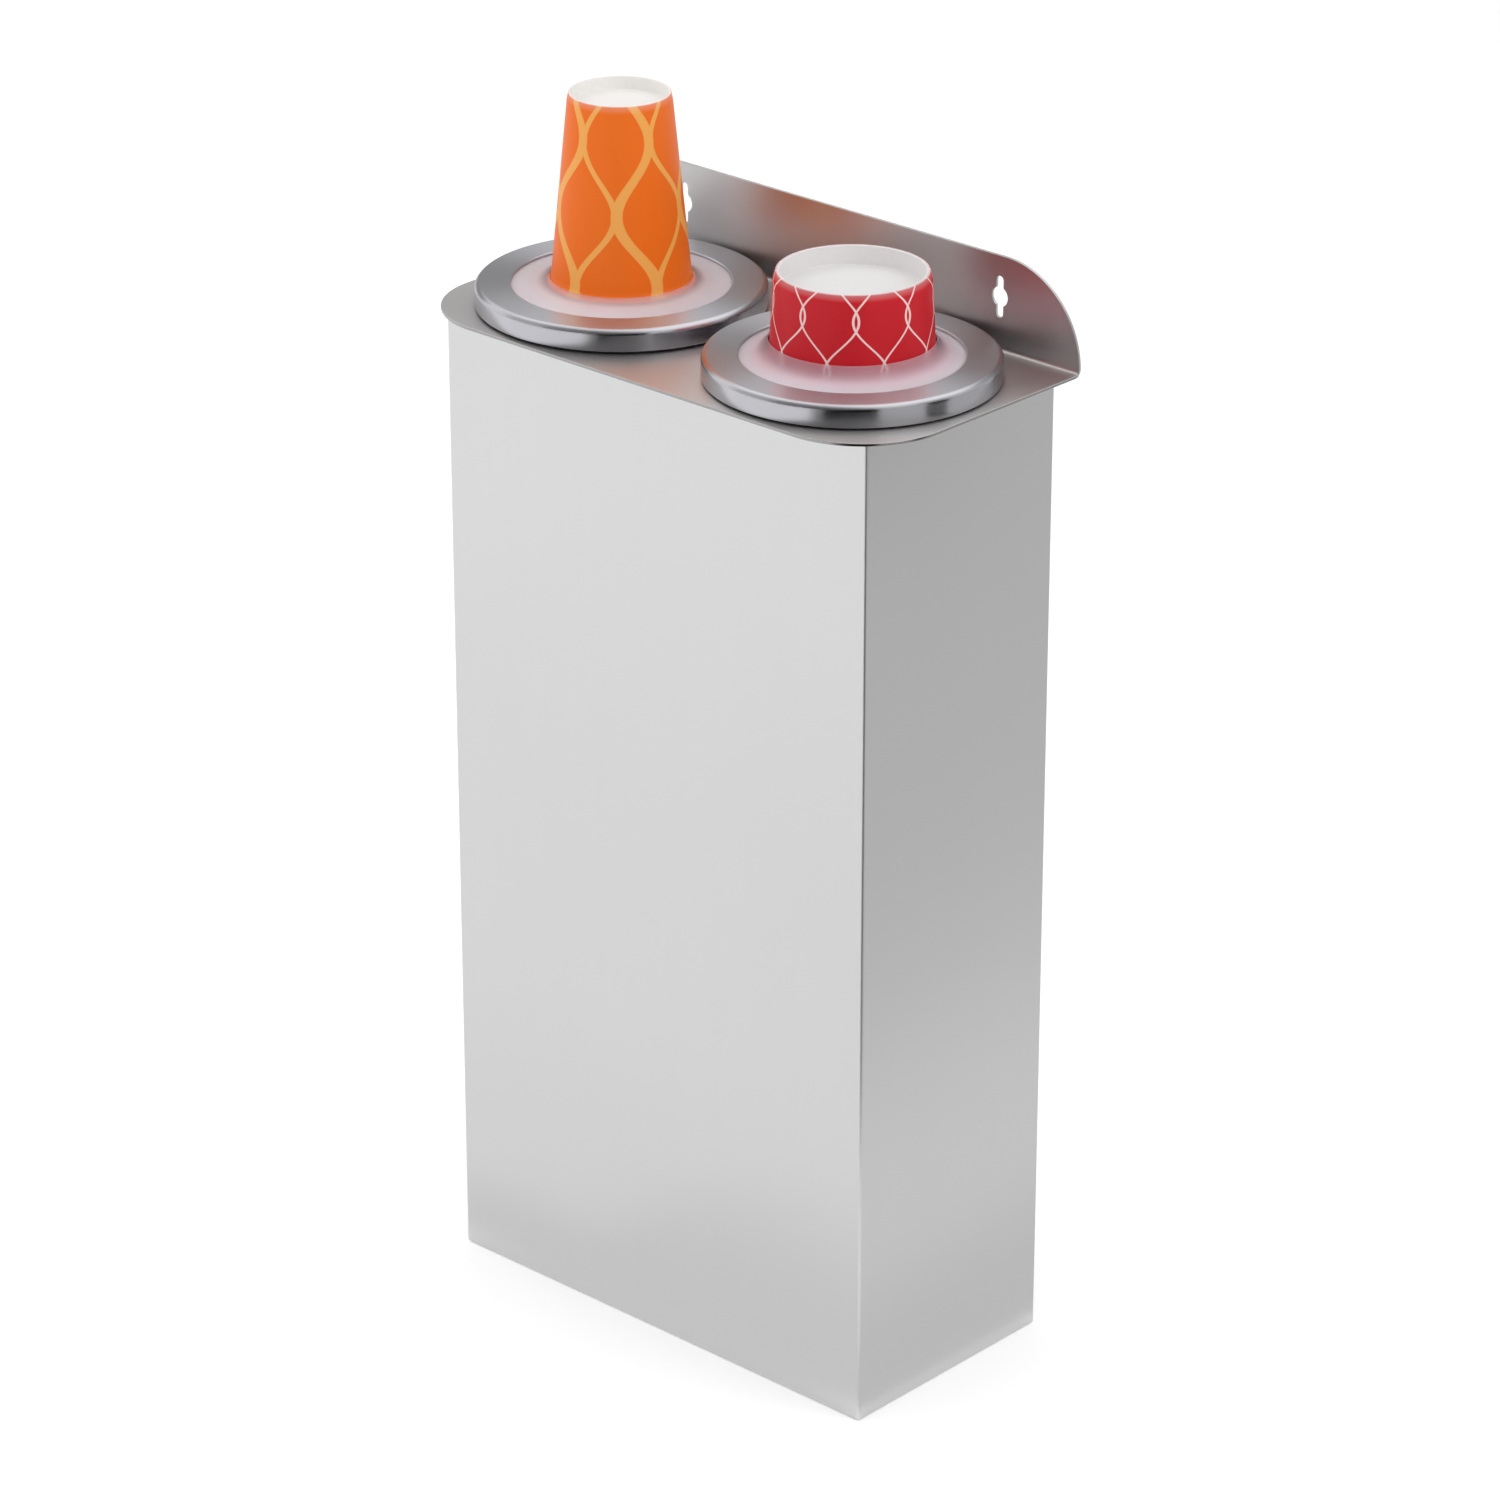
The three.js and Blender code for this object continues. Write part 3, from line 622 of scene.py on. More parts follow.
SCREW_STEEL = brushed("screw_steel", (0.58, 0.58, 0.59), 0.25, "z", 0.0)
BLACK_PLASTIC = moulded("black_plastic", (0.012, 0.012, 0.013), 0.45, 0.0006, 0.00003)
WHITE_PLASTIC = moulded("white_plastic", (0.78, 0.78, 0.76), 0.38, 0.0008, 0.00002)

ORANGE = (0.86, 0.155, 0.003)
PALE_ORANGE = (0.89, 0.40, 0.085)
RED = (0.54, 0.004, 0.012)
PALE_PINK = (0.86, 0.60, 0.58)

ORANGE_PAPER = printed_paper("orange_paper", ORANGE, PALE_ORANGE, [
    {"count": 5, "swing": 0.24, "waves": 1.35, "shift": 0.10, "half_width": 0.075, "soft": 0.006},
    {"count": 5, "swing": -0.24, "waves": 1.35, "shift": 0.60, "half_width": 0.045, "soft": 0.006},
], (0.83, 0.81, 0.78))
RED_PAPER = printed_paper("red_paper", RED, PALE_PINK, [
    {"count": 9, "swing": 0.30, "waves": 0.9, "shift": 0.00, "half_width": 0.022, "soft": 0.005},
    {"count": 9, "swing": -0.30, "waves": 0.9, "shift": 0.50, "half_width": 0.022, "soft": 0.005},
], (0.74, 0.725, 0.715))
PAPER = {"left": (ORANGE_PAPER, "orange_paper"), "right": (RED_PAPER, "red_paper")}


def dress(piece, made, body, node):
    """Gives a piece its material and its body, and hides the frame node that it stands for."""
    piece.data.materials.append(made)
    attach(piece, body)
    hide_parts(node)


# Housing

housing_low, housing_high = node_box("housing_shell")
HALF_WIDTH = float(housing_high[0])
FRONT_Y = float(housing_low[1])
WALL_Y = float(housing_high[1])
HOUSING_TOP = float(housing_high[2])
HOLE_RADIUS = BORE_RADIUS + TUBE_WALL + SLIP + NECK_WALL + SLIP
SCREW_X = HALF_WIDTH - RETURN_WIDTH / 2
BACK_SCREW_Z = (BACK_SCREW_END, HOUSING_TOP - BACK_SCREW_END)
FLOOR_SCREW_Y = (FRONT_Y + FLOOR_SCREW_END, WALL_Y - FLOOR_SCREW_END)
SCREW_HOLE = SCREW_HEAD + SCREW_GAP
WINDOW_MARGIN = 0.4
WINDOW = RETURN_WIDTH / 2 - FOLD_RADIUS - WINDOW_MARGIN
WINDOW_STEPS = 8
SEAM_STEPS = 20
TINY = 1e-6


def window(centre):
    """Close steps about a screw's place."""
    return centre + np.linspace(-WINDOW, WINDOW, WINDOW_STEPS + 1)


def stretch(low, high, centres):
    """Places from low to high, with a window about each centre."""
    places = [low, high]
    for centre in centres:
        places.extend(window(centre))
    return np.unique(np.round(places, 4))


def wall_path(inset):
    """Line of the housing's wall, moved inwards by an inset, from the left return round the front to the
    right return, as (x, y) points. Corners are arcs of the fold's radius less the inset."""
    held = max(FOLD_RADIUS, inset)
    radius = held - inset
    arc = np.linspace(0, math.pi / 2, CORNER_STEPS + 1)
    fold_x = HALF_WIDTH - FOLD_RADIUS
    corner_x = HALF_WIDTH - held
    low_y = FRONT_Y + held
    high_y = WALL_Y - held
    back_x = np.minimum([HALF_WIDTH - RETURN_WIDTH, *window(SCREW_X), fold_x], HALF_WIDTH - inset)
    back = joined(back_x, WALL_Y - inset)
    corner = joined(corner_x + radius * np.sin(arc), high_y + radius * np.cos(arc))
    side_y = stretch(FRONT_Y + FOLD_RADIUS, WALL_Y - FOLD_RADIUS, FLOOR_SCREW_Y)[::-1]
    side = joined(HALF_WIDTH - inset, np.clip(side_y, low_y, high_y))
    front_corner = joined(corner_x + radius * np.cos(arc), low_y - radius * np.sin(arc))
    front = joined([min(fold_x - EDGE_HOLD, HALF_WIDTH - inset), 0.0], FRONT_Y + inset)
    right = np.concatenate([back, corner[1:], side, front_corner[1:], front])
    left = right[:-1] * [-1, 1]
    return np.concatenate([left, right[::-1]])


def pierce(points, faces, columns, low, high, centre, radius, flat):
    """Cuts the block of grid squares from corner low to corner high, both (row, column), and fills the
    frame that is left up to a round hole. flat are the two axes of the plane that holds the block."""
    (row_low, column_low), (row_high, column_high) = low, high
    row, column = np.divmod(faces[:, 0], columns)
    inside = (row >= row_low) & (row < row_high) & (column >= column_low) & (column < column_high)
    ring = [(row_low, c) for c in range(column_low, column_high)]
    ring += [(r, column_high) for r in range(row_low, row_high)]
    ring += [(row_high, c) for c in range(column_high, column_low, -1)]
    ring += [(r, column_low) for r in range(row_high, row_low, -1)]
    outer = points[[r * columns + c for r, c in ring]]
    offset = outer[:, flat] - centre
    inner = outer.copy()
    inner[:, flat] = centre + unit(offset) * radius
    frame_points = np.stack([outer, inner])
    frame_faces = grid_faces(2, len(ring), close_columns=True)
    return faces[~inside], (frame_points.reshape(-1, 3), frame_faces)


def nearest(values, value):
    return int(np.argmin(np.abs(np.asarray(values) - value)))


def build_housing():
    """One folded sheet: rows run from the top fold down the wall, round the bottom fold and in to the
    edge of the floor's return, and columns follow the wall's path. Screw holes are cut in the returns,
    and two webs with the collars' holes close the top."""
    fold = np.linspace(math.pi / 2, 0, FOLD_STEPS + 1)
    fold_inset = FOLD_RADIUS * (1 - np.cos(fold))
    held = FOLD_RADIUS + EDGE_HOLD
    walls = stretch(held, HOUSING_TOP - held, BACK_SCREW_Z)[::-1]
    floor_insets = window(HALF_WIDTH - SCREW_X)
    rows = [(i, HOUSING_TOP - FOLD_RADIUS * (1 - math.sin(a))) for i, a in zip(fold_inset, fold)]
    rows += [(0.0, z) for z in walls]
    rows += [(i, FOLD_RADIUS * (1 - math.sin(a))) for i, a in zip(fold_inset[::-1], fold[::-1])]
    rows += [(i, 0.0) for i in floor_insets] + [(RETURN_WIDTH, 0.0)]
    lines = [wall_path(inset) for inset, _ in rows]
    columns = len(lines[0])
    points = np.concatenate([np.insert(line, 2, z, axis=1) for line, (_, z) in zip(lines, rows)])
    faces = grid_faces(len(rows), columns)
    parts = []
    wall_line = wall_path(0.0)
    heights = np.array([z for _, z in rows])
    first_wall = len(fold)
    wall_rows = np.arange(first_wall, first_wall + len(walls))
    floor_row = len(fold) * 2 + len(walls)
    for sense in (-1, 1):
        on_back = np.where((wall_line[:, 0] * sense > 0) & (wall_line[:, 1] > WALL_Y - TINY))[0]
        on_side = np.where(np.abs(wall_line[:, 0] - sense * HALF_WIDTH) < TINY)[0]
        holes = []
        for z in BACK_SCREW_Z:
            first, last = (wall_rows[nearest(heights[wall_rows], z + s * WINDOW)] for s in (1, -1))
            holes.append((on_back, wall_line[on_back, 0] * sense, SCREW_X, first, last, z, 2))
        for y in FLOOR_SCREW_Y:
            holes.append((on_side, wall_line[on_side, 1], y, floor_row, floor_row + WINDOW_STEPS, y, 1))
        for choice, run, middle, first, last, place, axis in holes:
            ends = [choice[nearest(run, middle + s * WINDOW)] for s in (-1, 1)]
            centre = np.array([sense * SCREW_X, place])
            faces, part = pierce(points, faces, columns, (first, min(ends)), (last, max(ends)),
                                 centre, SCREW_HOLE, [0, axis])
            parts.append(part)
    top_line = wall_path(FOLD_RADIUS)
    half = top_line[len(top_line) // 2:][::-1]
    seam_y = np.linspace(FRONT_Y + FOLD_RADIUS, WALL_Y - FOLD_RADIUS, SEAM_STEPS + 1)
    seam = np.insert(seam_y[:, None], 0, 0.0, axis=1)
    web, web_faces = ring_sheet(np.concatenate([half[:-1], seam]), HOLE_CENTRE, hole_radius)
    parts += mirrored(np.insert(web, 2, HOUSING_TOP, axis=1), web_faces)
    return build("housing", [(p, f[:, ::-1]) for p, f in [(points, faces), *parts]])


HOLE_CENTRE = np.array([axis_x["right"], 0.0])
SHEET_ROWS = 4
EDGE_ANGLE = 50


def hole_radius(angle):
    """Distance from a collar hole's centre to its edge, alike at every angle."""
    return np.full(len(angle), HOLE_RADIUS)


def ring_sheet(outline, centre, radius_at):
    """Flat sheet between a closed outline and a hole that every ray from its centre meets once: each
    point of the outline is joined to the hole's point at the same angle. Gives 2D points and faces."""
    offset = outline - centre
    angle = np.arctan2(offset[:, 1], offset[:, 0])
    hole = centre + joined(np.cos(angle), np.sin(angle)) * radius_at(angle)[:, None]
    share = np.linspace(0, 1, SHEET_ROWS)[:, None, None]
    points = (outline[None] * (1 - share) + hole[None] * share).reshape(-1, 2)
    return points, grid_faces(SHEET_ROWS, len(outline), close_columns=True)


def thicken(piece, thickness, edge):
    """Gives a sheet its thickness on the inner side and rounds its cut edges."""
    solid = piece.modifiers.new("sheet", "SOLIDIFY")
    solid.thickness = thickness * MM
    solid.offset = -1
    solid.use_even_offset = False
    if edge > 0:
        bevel = piece.modifiers.new("edge", "BEVEL")
        bevel.width = edge * MM
        bevel.segments = 2
        bevel.limit_method = "ANGLE"
        bevel.angle_limit = math.radians(EDGE_ANGLE)
        bevel.use_clamp_overlap = True
    even = piece.modifiers.new("even", "WEIGHTED_NORMAL")
    even.keep_sharp = True
    even.weight = 100


housing = build_housing()
thicken(housing, HOUSING_SHEET, 0)
dress(housing, HOUSING_STEEL, "housing", "housing_shell")


# Top plate and wall flange

plate_low, plate_high = node_box("top_plate")
PLATE_END = float(plate_high[0])
PLATE_FRONT = float(plate_low[1])
FLANGE_TOP = float(plate_high[2])
FLANGE_Y = WALL_Y - PLATE_SHEET
BEND_Y = FLANGE_Y - BEND_RADIUS
BEND_Z = PLATE_TOP + BEND_RADIUS
BEND_COLUMNS = 148
BEND_STEPS = 10
PLATE_EDGE = 0.3


def keyhole_radius(angle):
    """Distance from the keyhole's centre to its edge: the round head, or the slot where that is farther.
    The slot is a stadium, upright: straight sides, then an arc about each end's centre."""
    half = KEYHOLE_SLOT / 2
    reach = KEYHOLE_LENGTH / 2 - half
    across = np.abs(np.cos(angle))
    up = np.abs(np.sin(angle))
    side = half / np.maximum(across, TINY)
    inside = np.maximum(half ** 2 - (reach * across) ** 2, 0)
    end = reach * up + np.sqrt(inside)
    slot = np.where(side * up <= reach, side, end)
    return np.maximum(KEYHOLE_HEAD, slot)


def arc_points(x, y, radius, start, end, steps):
    """Points on an arc, angles in degrees."""
    angle = np.radians(np.linspace(start, end, steps + 1))
    return joined(x + radius * np.cos(angle), y + radius * np.sin(angle))


def line_points(start, end, steps):
    """Points on a straight line, its end left out."""
    share = np.linspace(0, 1, steps, endpoint=False)[:, None]
    return np.array(start) * (1 - share) + np.array(end) * share


def build_plate():
    """The visible face of the bent sheet: a flat plate and an upright flange, each as two halves round
    a hole, joined by a bend whose columns meet the points of both."""
    bend_x = np.linspace(0, PLATE_END, BEND_COLUMNS + 1)
    corner_y = PLATE_FRONT + FRONT_CORNER
    plate_outline = np.concatenate([
        line_points((0, BEND_Y), (0, PLATE_FRONT), 60),
        line_points((0, PLATE_FRONT), (PLATE_END - FRONT_CORNER, PLATE_FRONT), 50),
        arc_points(PLATE_END - FRONT_CORNER, corner_y, FRONT_CORNER, -90, 0, 48)[:-1],
        line_points((PLATE_END, corner_y), (PLATE_END, BEND_Y), 50),
        joined(bend_x[::-1], BEND_Y)[:-1],
    ])
    corner_z = FLANGE_TOP - FLANGE_CORNER
    first = math.degrees(math.asin((BEND_Z - corner_z) / FLANGE_CORNER))
    flange_outline = np.concatenate([
        joined(bend_x, BEND_Z),
        arc_points(PLATE_END - FLANGE_CORNER, corner_z, FLANGE_CORNER, first, 90, 64)[1:-1],
        line_points((PLATE_END - FLANGE_CORNER, FLANGE_TOP), (0, FLANGE_TOP), 60),
        line_points((0, FLANGE_TOP), (0, BEND_Z), 24),
    ])
    flat, flat_faces = ring_sheet(plate_outline, HOLE_CENTRE, hole_radius)
    keyhole = np.array([PLATE_END - KEYHOLE_END, PLATE_TOP + KEYHOLE_HEIGHT])
    upright, upright_faces = ring_sheet(flange_outline, keyhole, keyhole_radius)
    x, turn = np.meshgrid(bend_x, np.radians(np.linspace(0, 90, BEND_STEPS + 1)), indexing="ij")
    bend = joined(x, BEND_Y + BEND_RADIUS * np.sin(turn), BEND_Z - BEND_RADIUS * np.cos(turn))
    return build("plate", [
        *mirrored(np.insert(flat, 2, PLATE_TOP, axis=1), flat_faces),
        *mirrored(np.insert(upright, 1, FLANGE_Y, axis=1), upright_faces),
        *mirrored(bend.reshape(-1, 3), grid_faces(*x.shape)[:, ::-1]),
    ])


plate = build_plate()
thicken(plate, PLATE_SHEET, PLATE_EDGE)
dress(plate, PLATE_STEEL, "housing", "top_plate")

for name in ("back_panel", "bottom_panel"):
    node = frame["nodes"][name]
    node.data.materials.clear()
    node.data.materials.append(HOUSING_STEEL)


# Screws

CROSS_REACH = 1.7
CROSS_WIDTH = 0.75
CROSS_DEPTH = 0.9
CROSS_RUN_OUT = 0.3
CROSS_END_SHARE = 1.15
CROSS_SLOPE_SHARE = 0.3
CROSS_FLOOR_SHARE = 1.6
CROSS_LEAST_SHARE = 0.2
CROSS_STEPS = 14
HEAD_EDGE = 0.1
HEAD_EDGE_DROP = 0.08
SCREW_STEPS = 64


def build_screw(name, place, pointing):
    """Countersunk screw. Its head's face is sunk by the cross recess: depth times a smooth mask of the
    distance to the nearer arm. pointing gives the axes of the head's plane and the shank."""
    across, up, inwards = (np.array(axis, float) for axis in pointing)
    angle = bearings(SCREW_STEPS)[:, None]
    face_end = SCREW_HEAD - HEAD_EDGE
    face = np.linspace(0, CROSS_REACH + CROSS_RUN_OUT, CROSS_STEPS + 1)
    r = np.concatenate([face, [face_end, SCREW_HEAD, SCREW_SHANK, SCREW_SHANK]])
    depth = np.zeros(len(r))
    depth[-3:] = [HEAD_EDGE_DROP, SCREW_DEPTH, SCREW_LENGTH]
    x = r * np.cos(angle)
    y = r * np.sin(angle)
    arm = np.minimum(np.maximum(np.abs(x) / CROSS_REACH, np.abs(y) / (CROSS_WIDTH / 2)),
                     np.maximum(np.abs(y) / CROSS_REACH, np.abs(x) / (CROSS_WIDTH / 2)))
    sunk = np.clip((CROSS_END_SHARE - arm) / CROSS_SLOPE_SHARE, 0, 1) * (r < face_end)
    fall = np.clip(1 - r / (CROSS_REACH * CROSS_FLOOR_SHARE), CROSS_LEAST_SHARE, 1)
    deep = depth + CROSS_DEPTH * sunk * fall
    points = np.array(place) + x[..., None] * across + y[..., None] * up + deep[..., None] * inwards
    end = np.array(place) + inwards * SCREW_LENGTH
    cap = np.stack([points[:, -1], np.broadcast_to(end, points[:, -1].shape)], axis=1)
    parts = [(p.reshape(-1, 3), grid_faces(*p.shape[:2], close_rows=True)) for p in (points, cap)]
    return outwards(build(name, parts))


SCREWS = {
    "back": ([(sense * SCREW_X, WALL_Y, z) for sense in (-1, 1) for z in BACK_SCREW_Z],
             ((1, 0, 0), (0, 0, 1), (0, -1, 0))),
    "floor": ([(sense * SCREW_X, y, 0.0) for sense in (-1, 1) for y in FLOOR_SCREW_Y],
              ((1, 0, 0), (0, -1, 0), (0, 0, 1))),
}
for word, (places, pointing) in SCREWS.items():
    for number, place in enumerate(places, start=1):
        screw = build_screw(f"{word}_screw_head_{number}", place, pointing)
        dress(screw, SCREW_STEEL, "housing", f"{word}_screw_{number}")


# Lid: ring, carrier and membrane

def lid_ring_profile(side):
    radius, low, high = turned_size(f"{side}_lid_ring")
    return rounded([
        [radius, low, SLIGHT],
        [radius, high, SHOULDER],
        [OPENING_RADIUS, high, SOFT],
        [OPENING_RADIUS, high - LID_SHEET, FINE],
        [radius - LID_SHEET, high - LID_SHEET, SHOULDER - LID_SHEET],
        [radius - LID_SHEET, low, SLIGHT],
    ], steps=12)


def carrier_profile(side):
    outer, low, high = turned_size(f"{side}_lid_carrier")
    groove_top = low + GROOVE_DEPTH
    return rounded([
        [OPENING_RADIUS + CARRIER_INSET, low, EASED],
        [SPIGOT_RADIUS - SPIGOT_WALL - SLIP, low, PLAIN],
        [SPIGOT_RADIUS - SPIGOT_WALL - SLIP, groove_top, FINE],
        [SPIGOT_RADIUS + SLIP, groove_top, FINE],
        [SPIGOT_RADIUS + SLIP, low, PLAIN],
        [outer, low, EASED],
        [outer, high, SHOULDER - LID_SHEET],
        [OPENING_RADIUS + CARRIER_INSET, high, PLAIN],
    ])


def cup_sizes(side, drop=0.0):
    """Mouth radius at the wall, base radius, and the heights of base and mouth, of the top cup or of one
    that is lower by a drop."""
    radius, low, high = turned_size(f"{side}_top_cup")
    mouth = radius + CUP_WALL - 2 * CUP_CURL
    return mouth, mouth - CUP_TAPER[side], high - drop, low - drop


def rim_radius(side):
    """Outer radius of the top cup's rolled rim."""
    return cup_sizes(side)[0] - CUP_WALL + 2 * CUP_CURL


def membrane_profile(side):
    """Middle line: flat under the ring, then a quadratic curve up round the cup's rolled rim to the lip,
    offset by half the thickness to both sides. The lip ends in a half circle."""
    outer, low, _ = turned_size(f"{side}_membrane")
    mouth, base, top_z, mouth_z = cup_sizes(side)
    middle_z = low + MEMBRANE / 2
    lip_z = mouth_z + 2 * CUP_CURL + GRIP_HEIGHT[side]
    lip_r = mouth - (mouth - base) * (lip_z - mouth_z) / (top_z - mouth_z) + LIP_GAP + MEMBRANE / 2
    t = np.linspace(0, 1, 33)[:, None]
    start = np.array([OPENING_RADIUS, middle_z])
    knee = np.array([rim_radius(side) + KNEE_REACH, middle_z + KNEE_RISE])
    lip = np.array([lip_r, lip_z])
    curve = start * (1 - t) ** 2 + knee * 2 * t * (1 - t) + lip * t ** 2
    along = (knee - start) * 2 * (1 - t) + (lip - knee) * 2 * t
    along = unit(along)
    flat = np.array([[outer, middle_z], [OPENING_RADIUS + FLAT_HOLD, middle_z]])
    middle = np.concatenate([flat, curve])
    across = np.concatenate([[[0.0, 1.0]] * 2, joined(along[:, 1], -along[:, 0])])
    across[across[:, 1] < 0] *= -1
    half = np.full((len(middle), 1), MEMBRANE / 2)
    half[2:, 0] = MEMBRANE / 2 * (1 - LIP_THINNING_SHARE * t[:, 0] ** 2)
    turn = np.linspace(0, math.pi, 9)[1:-1, None]
    end = curve[-1] + half[-1] * (np.cos(turn) * across[-1] + np.sin(turn) * along[-1])
    return np.concatenate([middle + across * half, end, (middle - across * half)[::-1]])


# Collar, lock ring, tube and tube base

def collar_profile(side):
    flange, low, high = turned_size(f"{side}_collar")
    flange_low = PLATE_TOP + SCREW_GAP
    flange_top = PLATE_TOP + FLANGE_THICKNESS
    socket = BORE_RADIUS + TUBE_WALL + SLIP
    tube_end = turned_size(f"{side}_tube")[2] + TUBE_GAP
    return rounded([
        [socket, low, PLAIN],
        [socket + NECK_WALL, low, EASED],
        [socket + NECK_WALL, flange_low, KEEN],
        [flange, flange_low, SLIGHT],
        [flange, flange_top, FINE],
        [SPIGOT_RADIUS, flange_top, FINE],
        [SPIGOT_RADIUS, high, SOFT],
        [SPIGOT_RADIUS - SPIGOT_WALL, high, SOFT],
        [SPIGOT_RADIUS - SPIGOT_WALL, flange_top, PLAIN],
        [BORE_RADIUS + BORE_LEAD, flange_top, EASED],
        [BORE_RADIUS, flange_top - BORE_LEAD, EASED],
        [BORE_RADIUS, tube_end, KEEN],
        [socket, tube_end, KEEN],
    ])


def lock_ring_profile(side):
    outer, low, high = turned_size(f"{side}_lock_ring")
    return rounded([
        [HOLE_RADIUS, low, PLAIN],
        [outer, low, BROAD],
        [outer, high, BROAD],
        [HOLE_RADIUS, high, PLAIN],
    ])


def tube_profile(side):
    outer, low, high = turned_size(f"{side}_tube")
    return rounded([
        [outer - TUBE_WALL, low, PLAIN],
        [outer, low, PLAIN],
        [outer, high, SOFT],
        [outer - TUBE_WALL, high, SOFT],
    ])


def tube_base_profile(side):
    rim, low, high = turned_size(f"{side}_tube_base")
    floor_low = low + FOOT_HEIGHT
    floor_top = floor_low + BASE_FLOOR
    plug = BORE_RADIUS - SLIP
    seat = COIL_RADIUS * math.cos(COIL_FACET) - WIRE_RADIUS - SLIP
    return rounded([
        [0, low, 0],
        [FOOT_RADIUS, low, SOFT],
        [FOOT_RADIUS, floor_low, FINE],
        [rim, floor_low, EASED],
        [rim, floor_top, EASED],
        [plug, floor_top, KEEN],
        [plug, high, SOFT],
        [plug - PLUG_WALL, high, SOFT],
        [plug - PLUG_WALL, floor_top, EASED],
        [seat, floor_top, EASED],
        [seat, floor_top + SEAT_HEIGHT, SEAT_ROUND],
        [seat - SEAT_WALL, floor_top + SEAT_HEIGHT, SEAT_ROUND],
        [seat - SEAT_WALL, floor_top, EASED],
        [0, floor_top, 0],
    ])


# Lifter and spring

def lifter_profile(side):
    skirt, low, high = turned_size(f"{side}_lifter")
    platform = high - BOSS_HEIGHT
    mouth, base, top_z, mouth_z = cup_sizes(side)
    slope = (mouth - base) / (top_z - mouth_z)
    boss = mouth - CUP_WALL - BOSS_GAP
    boss_top = boss - BOSS_HEIGHT * slope - BOSS_TAPER
    return rounded([
        [0, high, 0],
        [boss_top, high, BOSS_ROUND],
        [boss - BOSS_TAPER * slope, platform + BOSS_TAPER, BROAD],
        [boss, platform, PLAIN],
        [skirt, platform, PLATFORM_ROUND],
        [skirt, low, EASED],
        [skirt - LIFTER_WALL, low, EASED],
        [skirt - LIFTER_WALL, platform - LIFTER_PLATE, BROAD],
        [boss - LIFTER_WALL, platform - LIFTER_PLATE, SOFT],
        [boss_top - LIFTER_WALL, high - LIFTER_WALL, BROAD],
        [0, high - LIFTER_WALL, 0],
    ])


def build_spring(side):
    """Round wire along a helix: at turn t the centre line is at (R cos 2 pi t, R sin 2 pi t, h(t)), where
    h climbs slowly in the closed turn at each end and evenly between them. Flat ends."""
    _, low, high = turned_size(f"{side}_spring")
    bottom = low + WIRE_RADIUS
    top = high - WIRE_RADIUS
    closed = 2 * WIRE_RADIUS * CLOSED_PITCH_SHARE
    t = np.linspace(0, COIL_TURNS, COIL_TURNS * COIL_STEPS + 1)
    stops = [0, 1, COIL_TURNS - 1, COIL_TURNS]
    height = np.interp(t, stops, [bottom, bottom + closed, top - closed, top])
    before = 2 * height[0] - height[COIL_BLEND:0:-1]
    after = 2 * height[-1] - height[-2:-COIL_BLEND - 2:-1]
    width = 2 * COIL_BLEND + 1
    height = np.convolve(np.concatenate([before, height, after]), np.ones(width) / width, mode="valid")
    angle = t * TURN
    centre = joined(axis_x[side] + COIL_RADIUS * np.cos(angle), COIL_RADIUS * np.sin(angle), height)
    along = unit(np.gradient(centre, axis=0))
    out = joined(np.cos(angle), np.sin(angle), 0.0)
    up = np.cross(along, out)
    around = bearings(WIRE_SIDES)[None, :, None]
    ring = out[:, None] * np.cos(around) + up[:, None] * np.sin(around)
    points = centre[:, None] + WIRE_RADIUS * ring
    first = np.broadcast_to(centre[0], points[0].shape)
    last = np.broadcast_to(centre[-1], points[0].shape)
    points = np.concatenate([first[None], points, last[None]])
    faces = grid_faces(len(points), WIRE_SIDES, close_columns=True)
    return outwards(build(f"{side}_coil_spring", [(points.reshape(-1, 3), faces)]))


# Cups

def cup_profile(side, drop):
    """Outline of one cup, upside down, from the middle of its base's outer face to the middle of its
    inner face, in five runs: recess, printed wall, rolled rim, inner wall and the base's underside."""
    mouth, base, top_z, mouth_z = cup_sizes(side, drop)
    disc_z = top_z - CUP_RECESS[side]
    slope = (mouth - base) / (top_z - mouth_z)

    def wall(z):
        return base + (top_z - z) * slope

    curl_z = mouth_z + CUP_CURL
    curl_r = wall(mouth_z) - CUP_WALL + CUP_CURL
    inner = base - CUP_SKIRT[side]
    wall_top = top_z - WALL_START
    recess = rounded([
        [0, disc_z + DISC_CROWN, 0],
        [inner * DISC_FLAT_SHARE, disc_z + DISC_FALL, DISC_ROUND],
        [inner, disc_z, SLIGHT],
        [inner, top_z, FINE],
        [base - CUP_SHOULDER[side], top_z, CREST_ROUND],
        [wall(top_z - SHOULDER_DEPTH), top_z - SHOULDER_DEPTH, SHOULDER_ROUND],
        [wall(wall_top), wall_top, 0],
        [0, wall_top - 1, 0],
    ], steps=5)[:-2]
    wall_z = np.linspace(wall_top, mouth_z + 2 * CUP_CURL + WALL_END, 24)
    outside = joined(wall(wall_z), wall_z)
    curl = arc_points(curl_r, curl_z, CUP_CURL, CURL_START, CURL_END, 16)
    inner_z = np.linspace(curl_z + INNER_HOLD, disc_z - CUP_DISC - INNER_HOLD, 8)
    inside = joined(wall(inner_z) - CUP_WALL, inner_z)
    under = disc_z - CUP_DISC
    cap = np.array([[wall(disc_z) - CUP_WALL - DISC_FILLET, under], [0, under]])
    return recess, outside, curl, inside, cap


